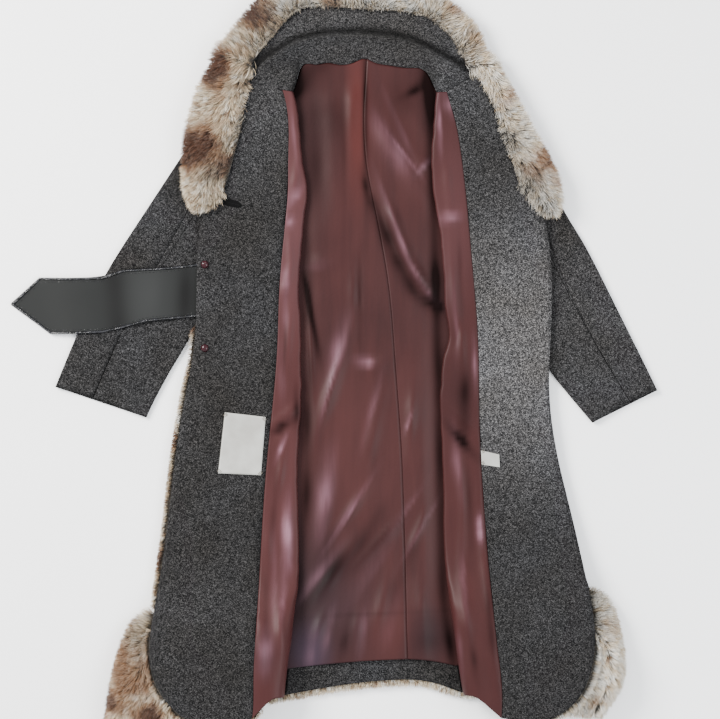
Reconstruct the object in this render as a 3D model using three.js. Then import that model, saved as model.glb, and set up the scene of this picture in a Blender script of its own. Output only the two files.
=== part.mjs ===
// A fur-trimmed wool coat, laid on its back and opened, with both fronts folded outwards.
// Millimetres, +Z up, +Y towards the collar and -X towards the wearer's right sleeve.
// Plan sizes are measured from a point in the middle of the back, and the whole coat is centred at the end.
import * as THREE from "three";

// Cloth thicknesses
const WOOL = 2;
const BACK_WOOL = 2.2;
const SATIN = 1;
const BELT = 2.3;
const LABEL = 0.8;
const SEAM = 0.3;

// Space left between layers that lie on each other, and inside the folded fronts
const REST = 0.4;
const FOLD_GAP = 3.4;

// Fur
const FUR_BENEATH = 8.3;
const FUR_PILE = 13.5;
const FUR_CROWN = 29;
const FUR_CLEAR = 0.6;
const FUR_PART = 2;
const RIM = 12;

// The fur hem band: where its upper edge crosses the middle, how it slants, and how softly cloth climbs it
const BAND_TOP = -400;
const BAND_SLANT = 0.094;
const BAND_CLIMB = 100;
const BAND_SHELF = 10;

// Sleeves lie flat: their height over all, and where the seam runs across from the outer edge
const SLEEVE_HEIGHT = 7.2;
const SLEEVE_SEAM = 0.41;
const CUFF_HOLLOW = 8;

// Stations up each front, from the hem to the shoulder, in plan: the side seam or armhole, the fold,
// the seam between lining and facing, and the front edge, each as X and Y.
const FRONT_COLUMNS = ["side", "fold", "seam", "edge"];
const RIGHT_STATIONS = [
  [-357, -544, -111, -502, -160, -532, -216, -552],
  [-351, -529, -110, -487, -158, -514, -260, -535],
  [-344, -508, -108, -469, -158, -490, -290, -506],
  [-333, -475, -105, -443, -158, -463, -308, -473],
  [-321, -436, -100, -415, -156, -425, -313, -436],
  [-306, -383, -96, -362, -153, -373, -310, -394],
  [-288, -323, -92, -311, -150, -316, -298, -320],
  [-264, -241, -90, -241, -146, -241, -287, -244],
  [-240, -143, -93, -143, -139, -143, -276, -139],
  [-219, -53, -90, -53, -129, -53, -261, -53],
  [-206, 22, -87, 22, -123, 22, -246, 22],
  [-201, 92, -90, 92, -122, 92, -245, 92],
  [-201, 172, -86, 166, -116, 166, -243, 166],
  [-207, 232, -82, 229, -109, 229, -238, 224],
  [-212, 292, -86, 290, -108, 290, -214, 287],
  [-210, 344, -90, 343, -106, 343, -194, 344],
  [-198, 391, -94, 380, -110, 381, -177, 389],
  [-120, 404, -100, 401, -116, 403, -165, 416],
];
const LEFT_STATIONS = [
  [378, -475, 153, -499, 210, -532, 268, -538],
  [375, -454, 150, -485, 211, -511, 303, -524],
  [370, -436, 147, -466, 211, -487, 327, -500],
  [363, -409, 143, -439, 207, -451, 340, -473],
  [354, -376, 139, -403, 202, -412, 348, -436],
  [342, -338, 134, -358, 197, -362, 348, -391],
  [324, -286, 126, -295, 191, -295, 336, -322],
  [302, -218, 123, -223, 186, -224, 317, -233],
  [279, -143, 123, -143, 180, -143, 294, -143],
  [255, -61, 121, -61, 178, -61, 282, -61],
  [242, 14, 124, 14, 178, 14, 284, 14],
  [237, 89, 128, 89, 173, 89, 288, 89],
  [240, 164, 122, 164, 166, 164, 285, 164],
  [246, 224, 111, 226, 161, 226, 278, 217],
  [246, 292, 108, 290, 154, 290, 240, 281],
  [238, 344, 110, 345, 146, 345, 211, 347],
  [219, 371, 111, 374, 137, 375, 194, 392],
  [138, 395, 114, 400, 130, 400, 174, 428],
];
const UNDERARM = 12;
const SHOULDER = 17;

// Rows of each cloth grid, counted in stations and closest where the cloth climbs the fur band
const ROWS = [
  0, 0.7, 1.5, 2.3, 3.1, 3.8, 4.4, 5, 5.6, 6.2, 7, 7.8, 8.6, 9.4, 10.2, 11, 12, 13, 14, 15, 15.7, 16.3, 17,
];
const BAND_ROWS = [0, 0.7, 1.5, 2.3, 3.1, 3.8, 4.4, 5];

// Centre seam of the back lining, from the hem up: X at each station
const CENTRE_X = [73, 73, 72, 71, 70, 69, 68, 66, 63, 57, 51, 46, 35, 22, 8, 5, 7, 10];

// How far the middle of the back reaches past the straight line between the folds, at each station
const BACK_BOW = [22, 18, 14, 8, 2, 0, 0, 0, 0, 0, 0, 0, 0, 0, 0, 6, 22, 43];
const NECK_REACH = 26;
const BACK_STEPS = [0, 0.04, 0.12, 0.25, 0.38, 0.5, 0.62, 0.75, 0.88, 0.96, 1];

// The neckline's roll, in plan, from the wearer's right to left
const NECK_ROLL = [
  [-165, 416.5], [-160, 431], [-144, 445], [-116, 463], [-84, 476], [-50, 482],
  [0, 482], [50, 478], [84, 471], [110, 458], [130, 445], [152, 436], [174, 428.5],
];
const NECK_ROLL_HEIGHT = 17;

// Edge of the collar's wool backing, across from each point of the roll
const COLLAR_EDGE = [
  [-188, 444], [-191, 463], [-182, 490], [-154, 520], [-112, 543], [-62, 555], [0, 559],
  [60, 553], [102, 536], [130, 512], [150, 489], [165, 469], [172, 447],
];

// Fur round the back of the collar, from the wearer's right to left: where it shows on the wool, and ends
const COLLAR_FUR = [
  { shows: [-155, 437], ends: [-211, 461] },
  { shows: [-141, 461], ends: [-206, 476] },
  { shows: [-124, 480], ends: [-190, 504] },
  { shows: [-106, 503], ends: [-164, 533] },
  { shows: [-84, 522], ends: [-122, 562] },
  { shows: [-50, 521], ends: [-68, 581] },
  { shows: [0, 516], ends: [0, 586] },
  { shows: [48, 515], ends: [70, 576] },
  { shows: [86, 511], ends: [117, 551] },
  { shows: [112, 496], ends: [146, 528] },
  { shows: [130, 478], ends: [169, 507] },
  { shows: [142, 460], ends: [185, 484] },
  { shows: [150, 448], ends: [190, 464] },
  { shows: [156.8, 437.6], ends: [187, 446.7] },
];

// Fur down each lapel, from the collar's: where it shows on the facing, and where it ends
const RIGHT_LAPEL = [
  { shows: [-155.3, 436.4], ends: [-211.3, 460.4] },
  { shows: [-160, 420], ends: [-225, 441] },
  { shows: [-164, 405], ends: [-235, 424] },
  { shows: [-166, 389], ends: [-249, 393] },
  { shows: [-171, 346], ends: [-262, 347] },
  { shows: [-183, 304], ends: [-268, 305] },
  { shows: [-193, 266], ends: [-267, 266] },
  { shows: [-204, 240], ends: [-262, 237] },
  { shows: [-220, 222], ends: [-248, 218] },
];
const LEFT_LAPEL = [
  { shows: [157, 437], ends: [203, 450.9] },
  { shows: [173, 427], ends: [212, 438.7] },
  { shows: [186, 412], ends: [219, 423] },
  { shows: [198, 389], ends: [236, 391] },
  { shows: [212, 349], ends: [256, 350] },
  { shows: [217, 314], ends: [279, 316] },
  { shows: [227, 277], ends: [297, 280] },
  { shows: [241, 246], ends: [304, 249] },
  { shows: [262, 228], ends: [303, 224] },
  { shows: [280, 216], ends: [294, 209] },
];
const LAPEL_PILE = 14;

// Where the fur holds cloth, it is clear of the cloth's edge by this much
const FUR_SLOT = 6;

// Fur of the hem on the coat's sides, from its lower end up: its station on the side seam, and the way from
// there where it is below the hem; how far it reaches past the seam, how full it is, and its share of the
// way to the fold
const RIGHT_HEM_FUR = [
  { station: 0, below: [6, -25], wide: 12, full: 0.4, share: 0.7 },
  { station: 0, below: [3, -14], wide: 21, full: 0.8, share: 0.9 },
  { station: 0, wide: 26, full: 1 },
  { station: 0.7, wide: 31, full: 1 },
  { station: 1.5, wide: 34, full: 1 },
  { station: 2.3, wide: 38, full: 1 },
  { station: 3.1, wide: 42, full: 1 },
  { station: 3.8, wide: 44, full: 1 },
  { station: 4.4, wide: 43, full: 1 },
  { station: 4.85, wide: 37, full: 0.9 },
  { station: 5.08, wide: 24, full: 0.6 },
];
const LEFT_HEM_FUR = [
  { station: 0, below: [-32, -61], wide: 12, full: 0.4, share: 0.3 },
  { station: 0, below: [-16, -42], wide: 14, full: 0.8, share: 0.55 },
  { station: 0, below: [-5, -21], wide: 17, full: 1, share: 0.8 },
  { station: 0, wide: 21, full: 1 },
  { station: 0.7, wide: 23, full: 1 },
  { station: 1.5, wide: 25, full: 1 },
  { station: 2.3, wide: 28, full: 1 },
  { station: 3.1, wide: 29, full: 1 },
  { station: 3.8, wide: 29, full: 1 },
  { station: 4.4, wide: 26, full: 0.9 },
  { station: 4.85, wide: 12, full: 0.6 },
];
const HEM_FUR_EDGE = 19;

// Fur of the folded-out parts of the fronts: its stations and how full it is. The first two are past the hem.
const FLAP_FUR_ENDS = [
  { station: -0.9, full: 0.3 },
  { station: -0.3, full: 0.8 },
];
const FLAP_FUR_PAST = 0.1;

// The strip of fur down the right front's edge: its stations, how full it is, and its underside
const EDGE_FUR = [
  { station: 5.3, full: 0.5, low: 0 },
  { station: 5.6, full: 1, low: 0 },
  { station: 6.2, full: 1, low: 0 },
  { station: 7, full: 1, low: 0 },
  { station: 7.8, full: 1, low: 0 },
  { station: 8.6, full: 1, low: 0 },
  { station: 9.3, full: 1, low: 0 },
  { station: 9.55, full: 0.9, low: 0 },
  { station: 9.85, full: 0.8, low: 7.8 },
  { station: 10.2, full: 0.8, low: 7.8 },
  { station: 10.45, full: 0.5, low: 7.8 },
];
const EDGE_FUR_PAST = 8;
const EDGE_FUR_UNDER = 26;

// Fur beneath the back's hem: its stations, how far it reaches past the hem, and how deep it is there
const BACK_FUR = [
  { station: 0, past: 8, depth: 4 },
  { station: 0, past: 4, depth: 7 },
  { station: 0, past: 0.8, depth: 7.9 },
  { station: 0.7, past: 0, depth: 7.9 },
  { station: 1.5, past: 0, depth: 7.9 },
  { station: 2.3, past: 0, depth: 7.9 },
  { station: 3.1, past: 0, depth: 7.9 },
  { station: 3.6, past: 0, depth: 7.9 },
];
const BACK_FUR_INSET = 8;

// Sleeve edges in plan, from the armhole to the cuff, and the station at the armhole's top
const RIGHT_SLEEVE = {
  top: 16,
  outer: [
    [-198, 392], [-235, 351], [-268, 303], [-322, 221], [-350, 179], [-380, 131], [-406, 81], [-438, 5],
    [-457, -41],
  ],
  inner: [
    [-201, 172], [-204, 131], [-225, 86], [-255, 32], [-270, 5], [-284, -17], [-297, -41], [-309, -63],
    [-320, -87],
  ],
};
const LEFT_SLEEVE = {
  top: 15,
  outer: [
    [239, 343], [258, 312], [305, 221], [329, 186], [353, 141], [374, 99], [398, 51], [424, -1], [446, -46],
  ],
  inner: [
    [240, 164], [241, 132], [243, 88], [250, 52], [258, 26], [284, -18], [300, -38], [324, -67], [348, -95],
  ],
};
const SLEEVE_ROWS = 10;
const ARMHOLE_EASE = 1.5;

// Half belt, from its point to its root at the side seam: its edges in plan, and its underside
const BELT_STATIONS = [
  { upper: [-523, 84.5], lower: [-523, 81.5], z: 0.5 },
  { upper: [-481, 122.5], lower: [-464, 38], z: 1.5 },
  { upper: [-440, 122], lower: [-434, 38], z: 7.7 },
  { upper: [-386, 123], lower: [-386, 40], z: 7.7 },
  { upper: [-355, 134], lower: [-355, 47], z: 7.7 },
  { upper: [-320, 136], lower: [-320, 57], z: 7.7 },
  { upper: [-285, 138], lower: [-285, 60], z: 7.7 },
  { upper: [-244, 143], lower: [-244, 64], z: 7.7 },
  { upper: [-194, 145], lower: [-194, 66], z: 7.7 },
];
const BELT_STEPS = [0, 0.08, 0.5, 0.92, 1];

// Labels by their corners in plan, and the round fasteners
const LABEL_CORNERS = [[-202, -79], [-141, -86], [-148, -173], [-212, -170]];
const TAB_CORNERS = [[181, -136], [208, -142], [209, -161], [182, -157]];
const FASTENER = { radius: 6, height: 4.5, x: -232, upper: 142, lower: 17 };
const FASTENER_DOME = [[0, 0], [1, 0], [1, 0.22], [0.82, 0.7], [0.4, 1], [0, 1]];
const FASTENER_SIDES = 16;

// Soft folds: middle, half length, half width and height of each, and its turn from the Y axis in degrees
const FLAP_FOLDS = [
  { x: -200, y: 60, length: 120, width: 34, height: 2.2, turn: 4 },
  { x: -232, y: -190, length: 150, width: 30, height: 3, turn: 8 },
  { x: -188, y: -330, length: 90, width: 26, height: 2.4, turn: -10 },
  { x: 232, y: 130, length: 110, width: 30, height: 2.4, turn: -5 },
  { x: 235, y: -110, length: 140, width: 34, height: 3.2, turn: 6 },
  { x: 262, y: -330, length: 90, width: 36, height: 2.6, turn: 14 },
];
const LINING_FOLDS = [
  { x: 20, y: 300, length: 130, width: 22, height: 4.5, turn: 9 },
  { x: 62, y: 120, length: 150, width: 24, height: 5, turn: -12 },
  { x: -46, y: 180, length: 150, width: 20, height: 3.6, turn: -4 },
  { x: -40, y: -60, length: 130, width: 26, height: 4.2, turn: -14 },
  { x: 88, y: -90, length: 170, width: 18, height: 4.6, turn: 6 },
  { x: 0, y: -260, length: 130, width: 24, height: 4, turn: 10 },
  { x: 92, y: -340, length: 90, width: 20, height: 3.6, turn: -6 },
];
const FOLD_MARGIN = 34;

// Colours and finishes
const finish = (color, roughness, metalness = 0) => ({ color, roughness, metalness });
const CHARCOAL_WOOL = finish(0x4a4846, 0.95);
const ROSE_SATIN = finish(0x7a4a48, 0.42);
const PALE_FUR = finish(0xd0b898, 0.9);
const BELT_BACKING = finish(0x33373a, 0.55);
const IVORY_SATIN = finish(0xd8d2c0, 0.5);
const GARNET = finish(0x4a0f1c, 0.15);

const coat = new THREE.Group();

function add(name, geometry, look) {
  const mesh = new THREE.Mesh(geometry, new THREE.MeshStandardMaterial(look));
  mesh.name = name;
  coat.add(mesh);
}

const mix = THREE.MathUtils.lerp;
const steps = (count) => Array.from({ length: count + 1 }, (_, i) => i / count);

function between(a, b, t) {
  return new THREE.Vector2(mix(a.x, b.x, t), mix(a.y, b.y, t));
}

// A body from its points and faces, turned so that its faces point outwards
function body(points, index) {
  let volume = 0;
  for (let i = 0; i < index.length; i += 3) {
    const [a, b, c] = [points[index[i]], points[index[i + 1]], points[index[i + 2]]];
    volume += new THREE.Vector3().crossVectors(a, b).dot(c);
  }
  if (volume < 0) index.reverse();
  return new THREE.BufferGeometry().setFromPoints(points).setIndex(index);
}

// A closed wall between two grids of points that match row for row
function wall(under, over) {
  const rows = under.length;
  const columns = under[0].length;
  const index = [];
  const at = (face, i, j) => (face * rows + i) * columns + j;
  const quad = (a, b, c, d) => index.push(a, b, c, a, c, d);
  for (let i = 0; i + 1 < rows; i++) {
    for (let j = 0; j + 1 < columns; j++) {
      quad(at(0, i, j), at(0, i, j + 1), at(0, i + 1, j + 1), at(0, i + 1, j));
      quad(at(1, i, j), at(1, i + 1, j), at(1, i + 1, j + 1), at(1, i, j + 1));
    }
    const last = columns - 1;
    quad(at(0, i, 0), at(0, i + 1, 0), at(1, i + 1, 0), at(1, i, 0));
    quad(at(0, i, last), at(1, i, last), at(1, i + 1, last), at(0, i + 1, last));
  }
  for (let j = 0; j + 1 < columns; j++) {
    const last = rows - 1;
    quad(at(0, 0, j), at(1, 0, j), at(1, 0, j + 1), at(0, 0, j + 1));
    quad(at(0, last, j), at(0, last, j + 1), at(1, last, j + 1), at(1, last, j));
  }
  return body([...under.flat(), ...over.flat()], index);
}

// A closed body through sections, each a start and a direction in plan and a loop of [reach, height]
function loft(sections) {
  const count = sections[0].loop.length;
  const points = sections.flatMap(({ from, along, loop }) =>
    loop.map(([r, z]) => new THREE.Vector3(from.x + along.x * r, from.y + along.y * r, z)),
  );
  const index = [];
  for (let i = 0; i + 1 < sections.length; i++) {
    for (let j = 0; j < count; j++) {
      const k = (j + 1) % count;
      const [a, b, c, d] = [i * count + j, i * count + k, (i + 1) * count + k, (i + 1) * count + j];
      index.push(a, b, c, a, c, d);
    }
  }
  const cap = (section, first, ahead) => {
    const outline = section.loop.map(([r, z]) => new THREE.Vector2(r, z));
    const turn = Math.sign(THREE.ShapeUtils.area(outline));
    for (const face of THREE.ShapeUtils.triangulateShape(outline, [])) {
      const same = Math.sign(THREE.ShapeUtils.area(face.map((k) => outline[k]))) === turn;
      const ordered = same === ahead ? face : [...face].reverse();
      index.push(...ordered.map((k) => first + k));
    }
  };
  cap(sections[0], 0, false);
  cap(sections.at(-1), (sections.length - 1) * count, true);
  return body(points, index);
}

// Smooth curves through the columns of a table
function curve(points) {
  const spline = new THREE.SplineCurve(points.map(([x, y]) => new THREE.Vector2(x, y)));
  const last = points.length - 1;
  return (v) => {
    if (v >= 0) return spline.getPoint(Math.min(v / last, 1));
    const start = spline.getPoint(0);
    return start.clone().add(start.clone().sub(spline.getPoint(1 / last)).multiplyScalar(-v));
  };
}

function series(values) {
  const line = curve(values.map((value, i) => [i, value]));
  return (v) => line(Math.max(v, 0)).y;
}

function front(stations, sign) {
  const lines = {};
  FRONT_COLUMNS.forEach((name, k) => {
    lines[name] = curve(stations.map((row) => [row[2 * k], row[2 * k + 1]]));
  });
  return { ...lines, sign };
}

const RIGHT = front(RIGHT_STATIONS, 1);
const LEFT = front(LEFT_STATIONS, -1);
const centreX = series(CENTRE_X);
const backBow = series(BACK_BOW);

function softFolds(table, x, y) {
  let height = 0;
  for (const fold of table) {
    const turn = THREE.MathUtils.degToRad(fold.turn);
    const along = (y - fold.y) * Math.cos(turn) - (x - fold.x) * Math.sin(turn);
    const across = (x - fold.x) * Math.cos(turn) + (y - fold.y) * Math.sin(turn);
    height += fold.height * Math.exp(-((along / fold.length) ** 2) - (across / fold.width) ** 2);
  }
  return height;
}

// How far the cloth has climbed onto the fur hem band, from 0 to 1
function climb(x, y) {
  const top = BAND_TOP + BAND_SLANT * x;
  return THREE.MathUtils.smoothstep(top + BAND_CLIMB - y, 0, BAND_CLIMB + BAND_SHELF);
}

// Heights of the undersides of the layers, from the floor up
const backHeight = (x, y) => FUR_BENEATH * climb(x, y);
const backLiningHeight = (x, y) => backHeight(x, y) + BACK_WOOL + SEAM + (WOOL + SEAM) * climb(x, y);
const hairpinLow = (x, y) => backLiningHeight(x, y) + SATIN + REST;
const HAIRPIN = 2 * (SATIN + SEAM + WOOL) + FOLD_GAP;
const hairpinRise = (x, y) => HAIRPIN + 2 * (FUR_PILE + FUR_CLEAR) * climb(x, y);

// The folded-out part swells softly, away from its fold
function hairpinHigh(x, y, fold) {
  const away = THREE.MathUtils.smoothstep(Math.abs(x - fold), FOLD_MARGIN / 2, 2 * FOLD_MARGIN);
  return hairpinLow(x, y) + hairpinRise(x, y) + away * softFolds(FLAP_FOLDS, x, y);
}

const hairpinMiddle = (p) => hairpinLow(p.x, p.y) + hairpinRise(p.x, p.y) / 2;

const BEND = [-90, -54, -18, 18, 54, 90].map(THREE.MathUtils.degToRad);
const LOWER_STEPS = steps(3);
const STRIP_STEPS = steps(2);
const FACING_STEPS = steps(4);

// The middle of the fold's bend and its radius, for the outermost layer
function bendOf(side, v) {
  const fold = side.fold(v);
  const low = hairpinLow(fold.x, fold.y);
  const radius = hairpinRise(fold.x, fold.y) / 2;
  return { x: fold.x - side.sign * radius, y: fold.y, z: low + radius, radius, fold: fold.x };
}

// One face of a layer that runs from the side seam in to the fold, round it and out again.
// The inset counts from the lining's outer face inwards.
function hairpinFace(side, v, inset, end) {
  const bend = bendOf(side, v);
  const turnIn = new THREE.Vector2(bend.x, bend.y);
  const high = (p) => new THREE.Vector3(p.x, p.y, hairpinHigh(p.x, p.y, bend.fold) - inset);
  const points = LOWER_STEPS.slice(0, -1).map((t) => {
    const p = between(side.side(v), turnIn, t);
    return new THREE.Vector3(p.x, p.y, hairpinLow(p.x, p.y) + inset);
  });
  for (const angle of BEND) {
    const reach = (bend.radius - inset) * Math.cos(angle);
    const z = bend.z + (bend.radius - inset) * Math.sin(angle);
    points.push(new THREE.Vector3(bend.x + side.sign * reach, bend.y, z));
  }
  const seam = side.seam(v);
  const stop = seam.clone();
  if (end === "seam") stop.x += (side.sign * SEAM) / 2;
  for (const t of STRIP_STEPS.slice(1)) points.push(high(between(turnIn, stop, t)));
  const beyond = end === "edge" ? FACING_STEPS.slice(1) : [];
  for (const t of beyond) points.push(high(between(seam, side.edge(v), t)));
  return points;
}

function hairpin(side, inset, thickness, end) {
  const face = (depth) => ROWS.map((v) => hairpinFace(side, v, depth, end));
  return wall(face(inset), face(inset + thickness));
}

// The facing lies on the folded-out wool, level with the lining strip's underside
function facing(side) {
  const face = (lift) =>
    ROWS.map((v) => {
      const fold = side.fold(v).x;
      const start = side.seam(v);
      start.x -= (side.sign * SEAM) / 2;
      return FACING_STEPS.map((t) => {
        const p = between(start, side.edge(v), t);
        return new THREE.Vector3(p.x, p.y, hairpinHigh(p.x, p.y, fold) - SATIN + lift);
      });
    });
  return wall(face(0), face(WOOL));
}

// A point of the back between the folds: t runs from the wearer's right fold to the left one
function backPoint(v, t) {
  const station = Math.min(v, SHOULDER);
  const right = RIGHT.fold(station);
  const left = LEFT.fold(station);
  const centre = centreX(station);
  const x = t < 0.5 ? mix(right.x, centre, 2 * t) : mix(centre, left.x, 2 * t - 1);
  const square = THREE.MathUtils.smoothstep(v, 14, 16);
  const arch = Math.sin(Math.PI * t) ** mix(1, 0.4, square);
  const reach = backBow(station) + NECK_REACH * Math.max(v - SHOULDER, 0);
  const y = mix(right.y, left.y, t) + v - station;
  return new THREE.Vector2(x, y + reach * (t > 0 && t < 1 ? arch : 0));
}

function acrossBack(v) {
  const station = Math.min(v, SHOULDER);
  const hidden = (side, t) => {
    const p = between(side.side(station), side.fold(station), t);
    p.y += v - station;
    return p;
  };
  return [
    ...LOWER_STEPS.slice(0, -1).map((t) => hidden(RIGHT, t)),
    ...BACK_STEPS.map((t) => backPoint(v, t)),
    ...LOWER_STEPS.slice(0, -1).reverse().map((t) => hidden(LEFT, t)),
  ];
}

function level(rows, height) {
  return rows.map((row) => row.map((p) => new THREE.Vector3(p.x, p.y, height(p.x, p.y))));
}

function back() {
  const rows = [...ROWS, SHOULDER + 1].map(acrossBack);
  return wall(level(rows, backHeight), level(rows, (x, y) => backHeight(x, y) + BACK_WOOL));
}

// The turned-up hem shows below the lining
function backHem() {
  const rows = [0.1, 0.7, 1.5, 2.3, 3].map((v) => BACK_STEPS.map((t) => backPoint(v, t)));
  const under = (x, y) => backHeight(x, y) + BACK_WOOL + SEAM;
  return wall(level(rows, under), level(rows, (x, y) => under(x, y) + WOOL - SEAM));
}

// Half of the back lining, from its side seam to the centre seam
function backLining(side) {
  const half = BACK_STEPS.filter((t) => (side.sign > 0 ? t <= 0.5 : t >= 0.5));
  const inwards = side.sign > 0 ? half : half.reverse();
  const rows = ROWS.filter((v) => v >= 2).map((v) => {
    const hidden = LOWER_STEPS.slice(0, -1).map((t) => between(side.side(v), side.fold(v), t));
    const open = inwards.map((t) => backPoint(v, t));
    open.at(-1).x -= (side.sign * SEAM) / 2;
    return [...hidden, ...open].map((p) => {
      const inside = side.sign * (p.x - side.fold(v).x);
      const other = Math.abs(p.x - (side.sign > 0 ? LEFT : RIGHT).fold(v).x);
      const room = THREE.MathUtils.smoothstep(Math.min(inside, other), 6, FOLD_MARGIN);
      const near = v > SHOULDER - 1 ? (SHOULDER - v) * room : room;
      const z = backLiningHeight(p.x, p.y) + near * softFolds(LINING_FOLDS, p.x, p.y);
      return new THREE.Vector3(p.x, p.y, z);
    });
  });
  const raised = rows.map((row) => row.map((p) => new THREE.Vector3(p.x, p.y, p.z + SATIN)));
  return wall(rows, raised);
}

// The neck facing climbs from the back lining's upper edge to the roll, and each end meets a front's facing
const neckRoll = curve(NECK_ROLL);

function neckRows() {
  const last = NECK_ROLL.length - 1;
  const inner = [RIGHT.seam(SHOULDER), ...BACK_STEPS.map((t) => backPoint(SHOULDER, t)), LEFT.seam(SHOULDER)];
  return inner.map((start, k) => {
    start.y += REST;
    const end = neckRoll((k * last) / (inner.length - 1));
    return { start, end, raised: k < 2 || k > inner.length - 3 };
  });
}

function backNeckFacing() {
  const low = BACK_WOOL + SEAM;
  const high = HAIRPIN + low + SATIN + REST - SATIN;
  const face = (lift) =>
    neckRows().map(({ start, end, raised }) =>
      steps(4).map((t) => {
        const p = between(start, end, t);
        const rise = mix(raised ? high : low, raised ? high + 1 : NECK_ROLL_HEIGHT - WOOL, t ** 1.4);
        return new THREE.Vector3(p.x, p.y, rise + lift);
      }),
    );
  return wall(face(0), face(WOOL));
}

// The collar backing falls from the roll to its edge, which the fur holds
const BACKING_EDGE = 11;

function backingHeight(t) {
  return mix(NECK_ROLL_HEIGHT - WOOL, BACKING_EDGE, THREE.MathUtils.smoothstep(t, 0, 1));
}

function collarBacking() {
  const face = (lift) =>
    COLLAR_EDGE.map((edge, k) => {
      const from = neckRoll(k);
      const to = new THREE.Vector2(...edge);
      return steps(4).map((t) => {
        const p = between(from, to, mix(REST / from.distanceTo(to), 1, t));
        return new THREE.Vector3(p.x, p.y, backingHeight(t) + lift);
      });
    });
  return wall(face(0), face(WOOL));
}

// How far it is from a place in plan, along a direction, to the backing's outline. Nought if it isn't met.
function reachOfBacking(from, along) {
  const outline = [NECK_ROLL[0], ...COLLAR_EDGE, NECK_ROLL.at(-1)].map(([x, y]) => new THREE.Vector2(x, y));
  for (let k = 0; k + 1 < outline.length; k++) {
    const side = outline[k + 1].clone().sub(outline[k]);
    const gap = outline[k].clone().sub(from);
    const turn = along.cross(side);
    const reach = gap.cross(side) / turn;
    const part = gap.cross(along) / turn;
    if (part >= 0 && part <= 1 && reach > 0) return reach;
  }
  return 0;
}

function furLine({ shows, ends }) {
  const from = new THREE.Vector2(...shows);
  const along = new THREE.Vector2(...ends).sub(from);
  const width = along.length();
  along.normalize();
  return { from, along, width };
}

// The collar's fur is turned over the backing's edge, and lies beneath it too
function collarFurBack() {
  const roll = steps(4 * NECK_ROLL.length).map((t) => neckRoll(t * (NECK_ROLL.length - 1)));
  return loft(
    COLLAR_FUR.map((row, k) => {
      const { from, along, width } = furLine(row);
      const edge = reachOfBacking(from, along);
      const slot = edge + FUR_SLOT;
      const end = Math.max(width, slot + 4);
      const round = [0.7, 0.9][COLLAR_FUR.length - 1 - k] ?? 1;
      const crown = FUR_CROWN * round;
      const rolled = Math.min(...roll.map((p) => p.distanceTo(from)));
      const lip = backingHeight((0.5 * rolled) / (rolled + edge)) + WOOL + FUR_CLEAR;
      const top = BACKING_EDGE + WOOL + 2 * FUR_CLEAR;
      const bottom = BACKING_EDGE - FUR_CLEAR;
      const loop = [
        [2, 0],
        [end - 6, 0],
        [end, 9 * round],
        [end - 2, 20 * round],
        [mix(0, end, 0.75), crown],
        [mix(0, end, 0.35), crown - 2],
        [3, mix(lip, crown, 0.45)],
        [0, lip],
        [slot, top],
        [slot, bottom],
        [2, bottom],
      ];
      return { from, along, loop };
    }),
  );
}

// Fur down a lapel lies on the facing, and beyond the cloth's edge on the sleeve or the floor
function collarFurLapel(side, table) {
  const last = table.length - 1;
  return loft(
    table.map((row, k) => {
      const { from, along, width } = furLine(row);
      const v = edgeStation(side, from.y);
      const backing = reachOfBacking(from, along);
      const clothEdge = Math.max(side.edge(v).sub(from).dot(along), 0) + 2;
      const slot = Math.min(backing > 0 ? backing + FUR_SLOT : clothEdge, width - 6);
      const taper = k === last ? 0.55 : 1;
      const floor = SLEEVE_HEIGHT + FUR_CLEAR;
      const onCollar = k < 2;
      const clothTop = onCollar ? NECK_ROLL_HEIGHT : hairpinHigh(from.x, from.y, side.fold(v).x) + WOOL;
      const laid = clothTop + FUR_CLEAR;
      const crown = laid + LAPEL_PILE * taper;
      const loop = [
        [slot, floor],
        [width - 5, floor],
        [width, floor + 6],
        [width - 2, mix(floor, crown, 0.8)],
        [width * 0.65, crown],
        [width * 0.3, crown - 1],
        [2, laid + 5 * taper],
        [0, laid],
        [slot, laid],
      ];
      return { from, along, loop };
    }),
  );
}

// Fur beneath the back's hem, just past its edge
function furHemBack() {
  const plan = BACK_FUR.map(({ station, past }) => {
    const row = acrossBack(station).map((p) => new THREE.Vector2(p.x, p.y - past));
    row[0].x += BACK_FUR_INSET;
    row.at(-1).x -= BACK_FUR_INSET;
    return row;
  });
  const over = plan.map((row, i) => {
    const { past, depth } = BACK_FUR[i];
    return row.map(({ x, y }) => {
      const free = past > 1 ? depth : Math.min(depth, backHeight(x, y) - REST);
      return new THREE.Vector3(x, y, free);
    });
  });
  return wall(level(plan, () => 0), over);
}

// The station at which a front's edge reaches a height up the coat
function edgeStation(side, y) {
  let v = 0;
  while (v < SHOULDER && side.edge(v).y < y) v += 0.02;
  return Math.min(v, SHOULDER);
}

const across = (side, from, to) => side.sign * (to.x - from.x);

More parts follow.
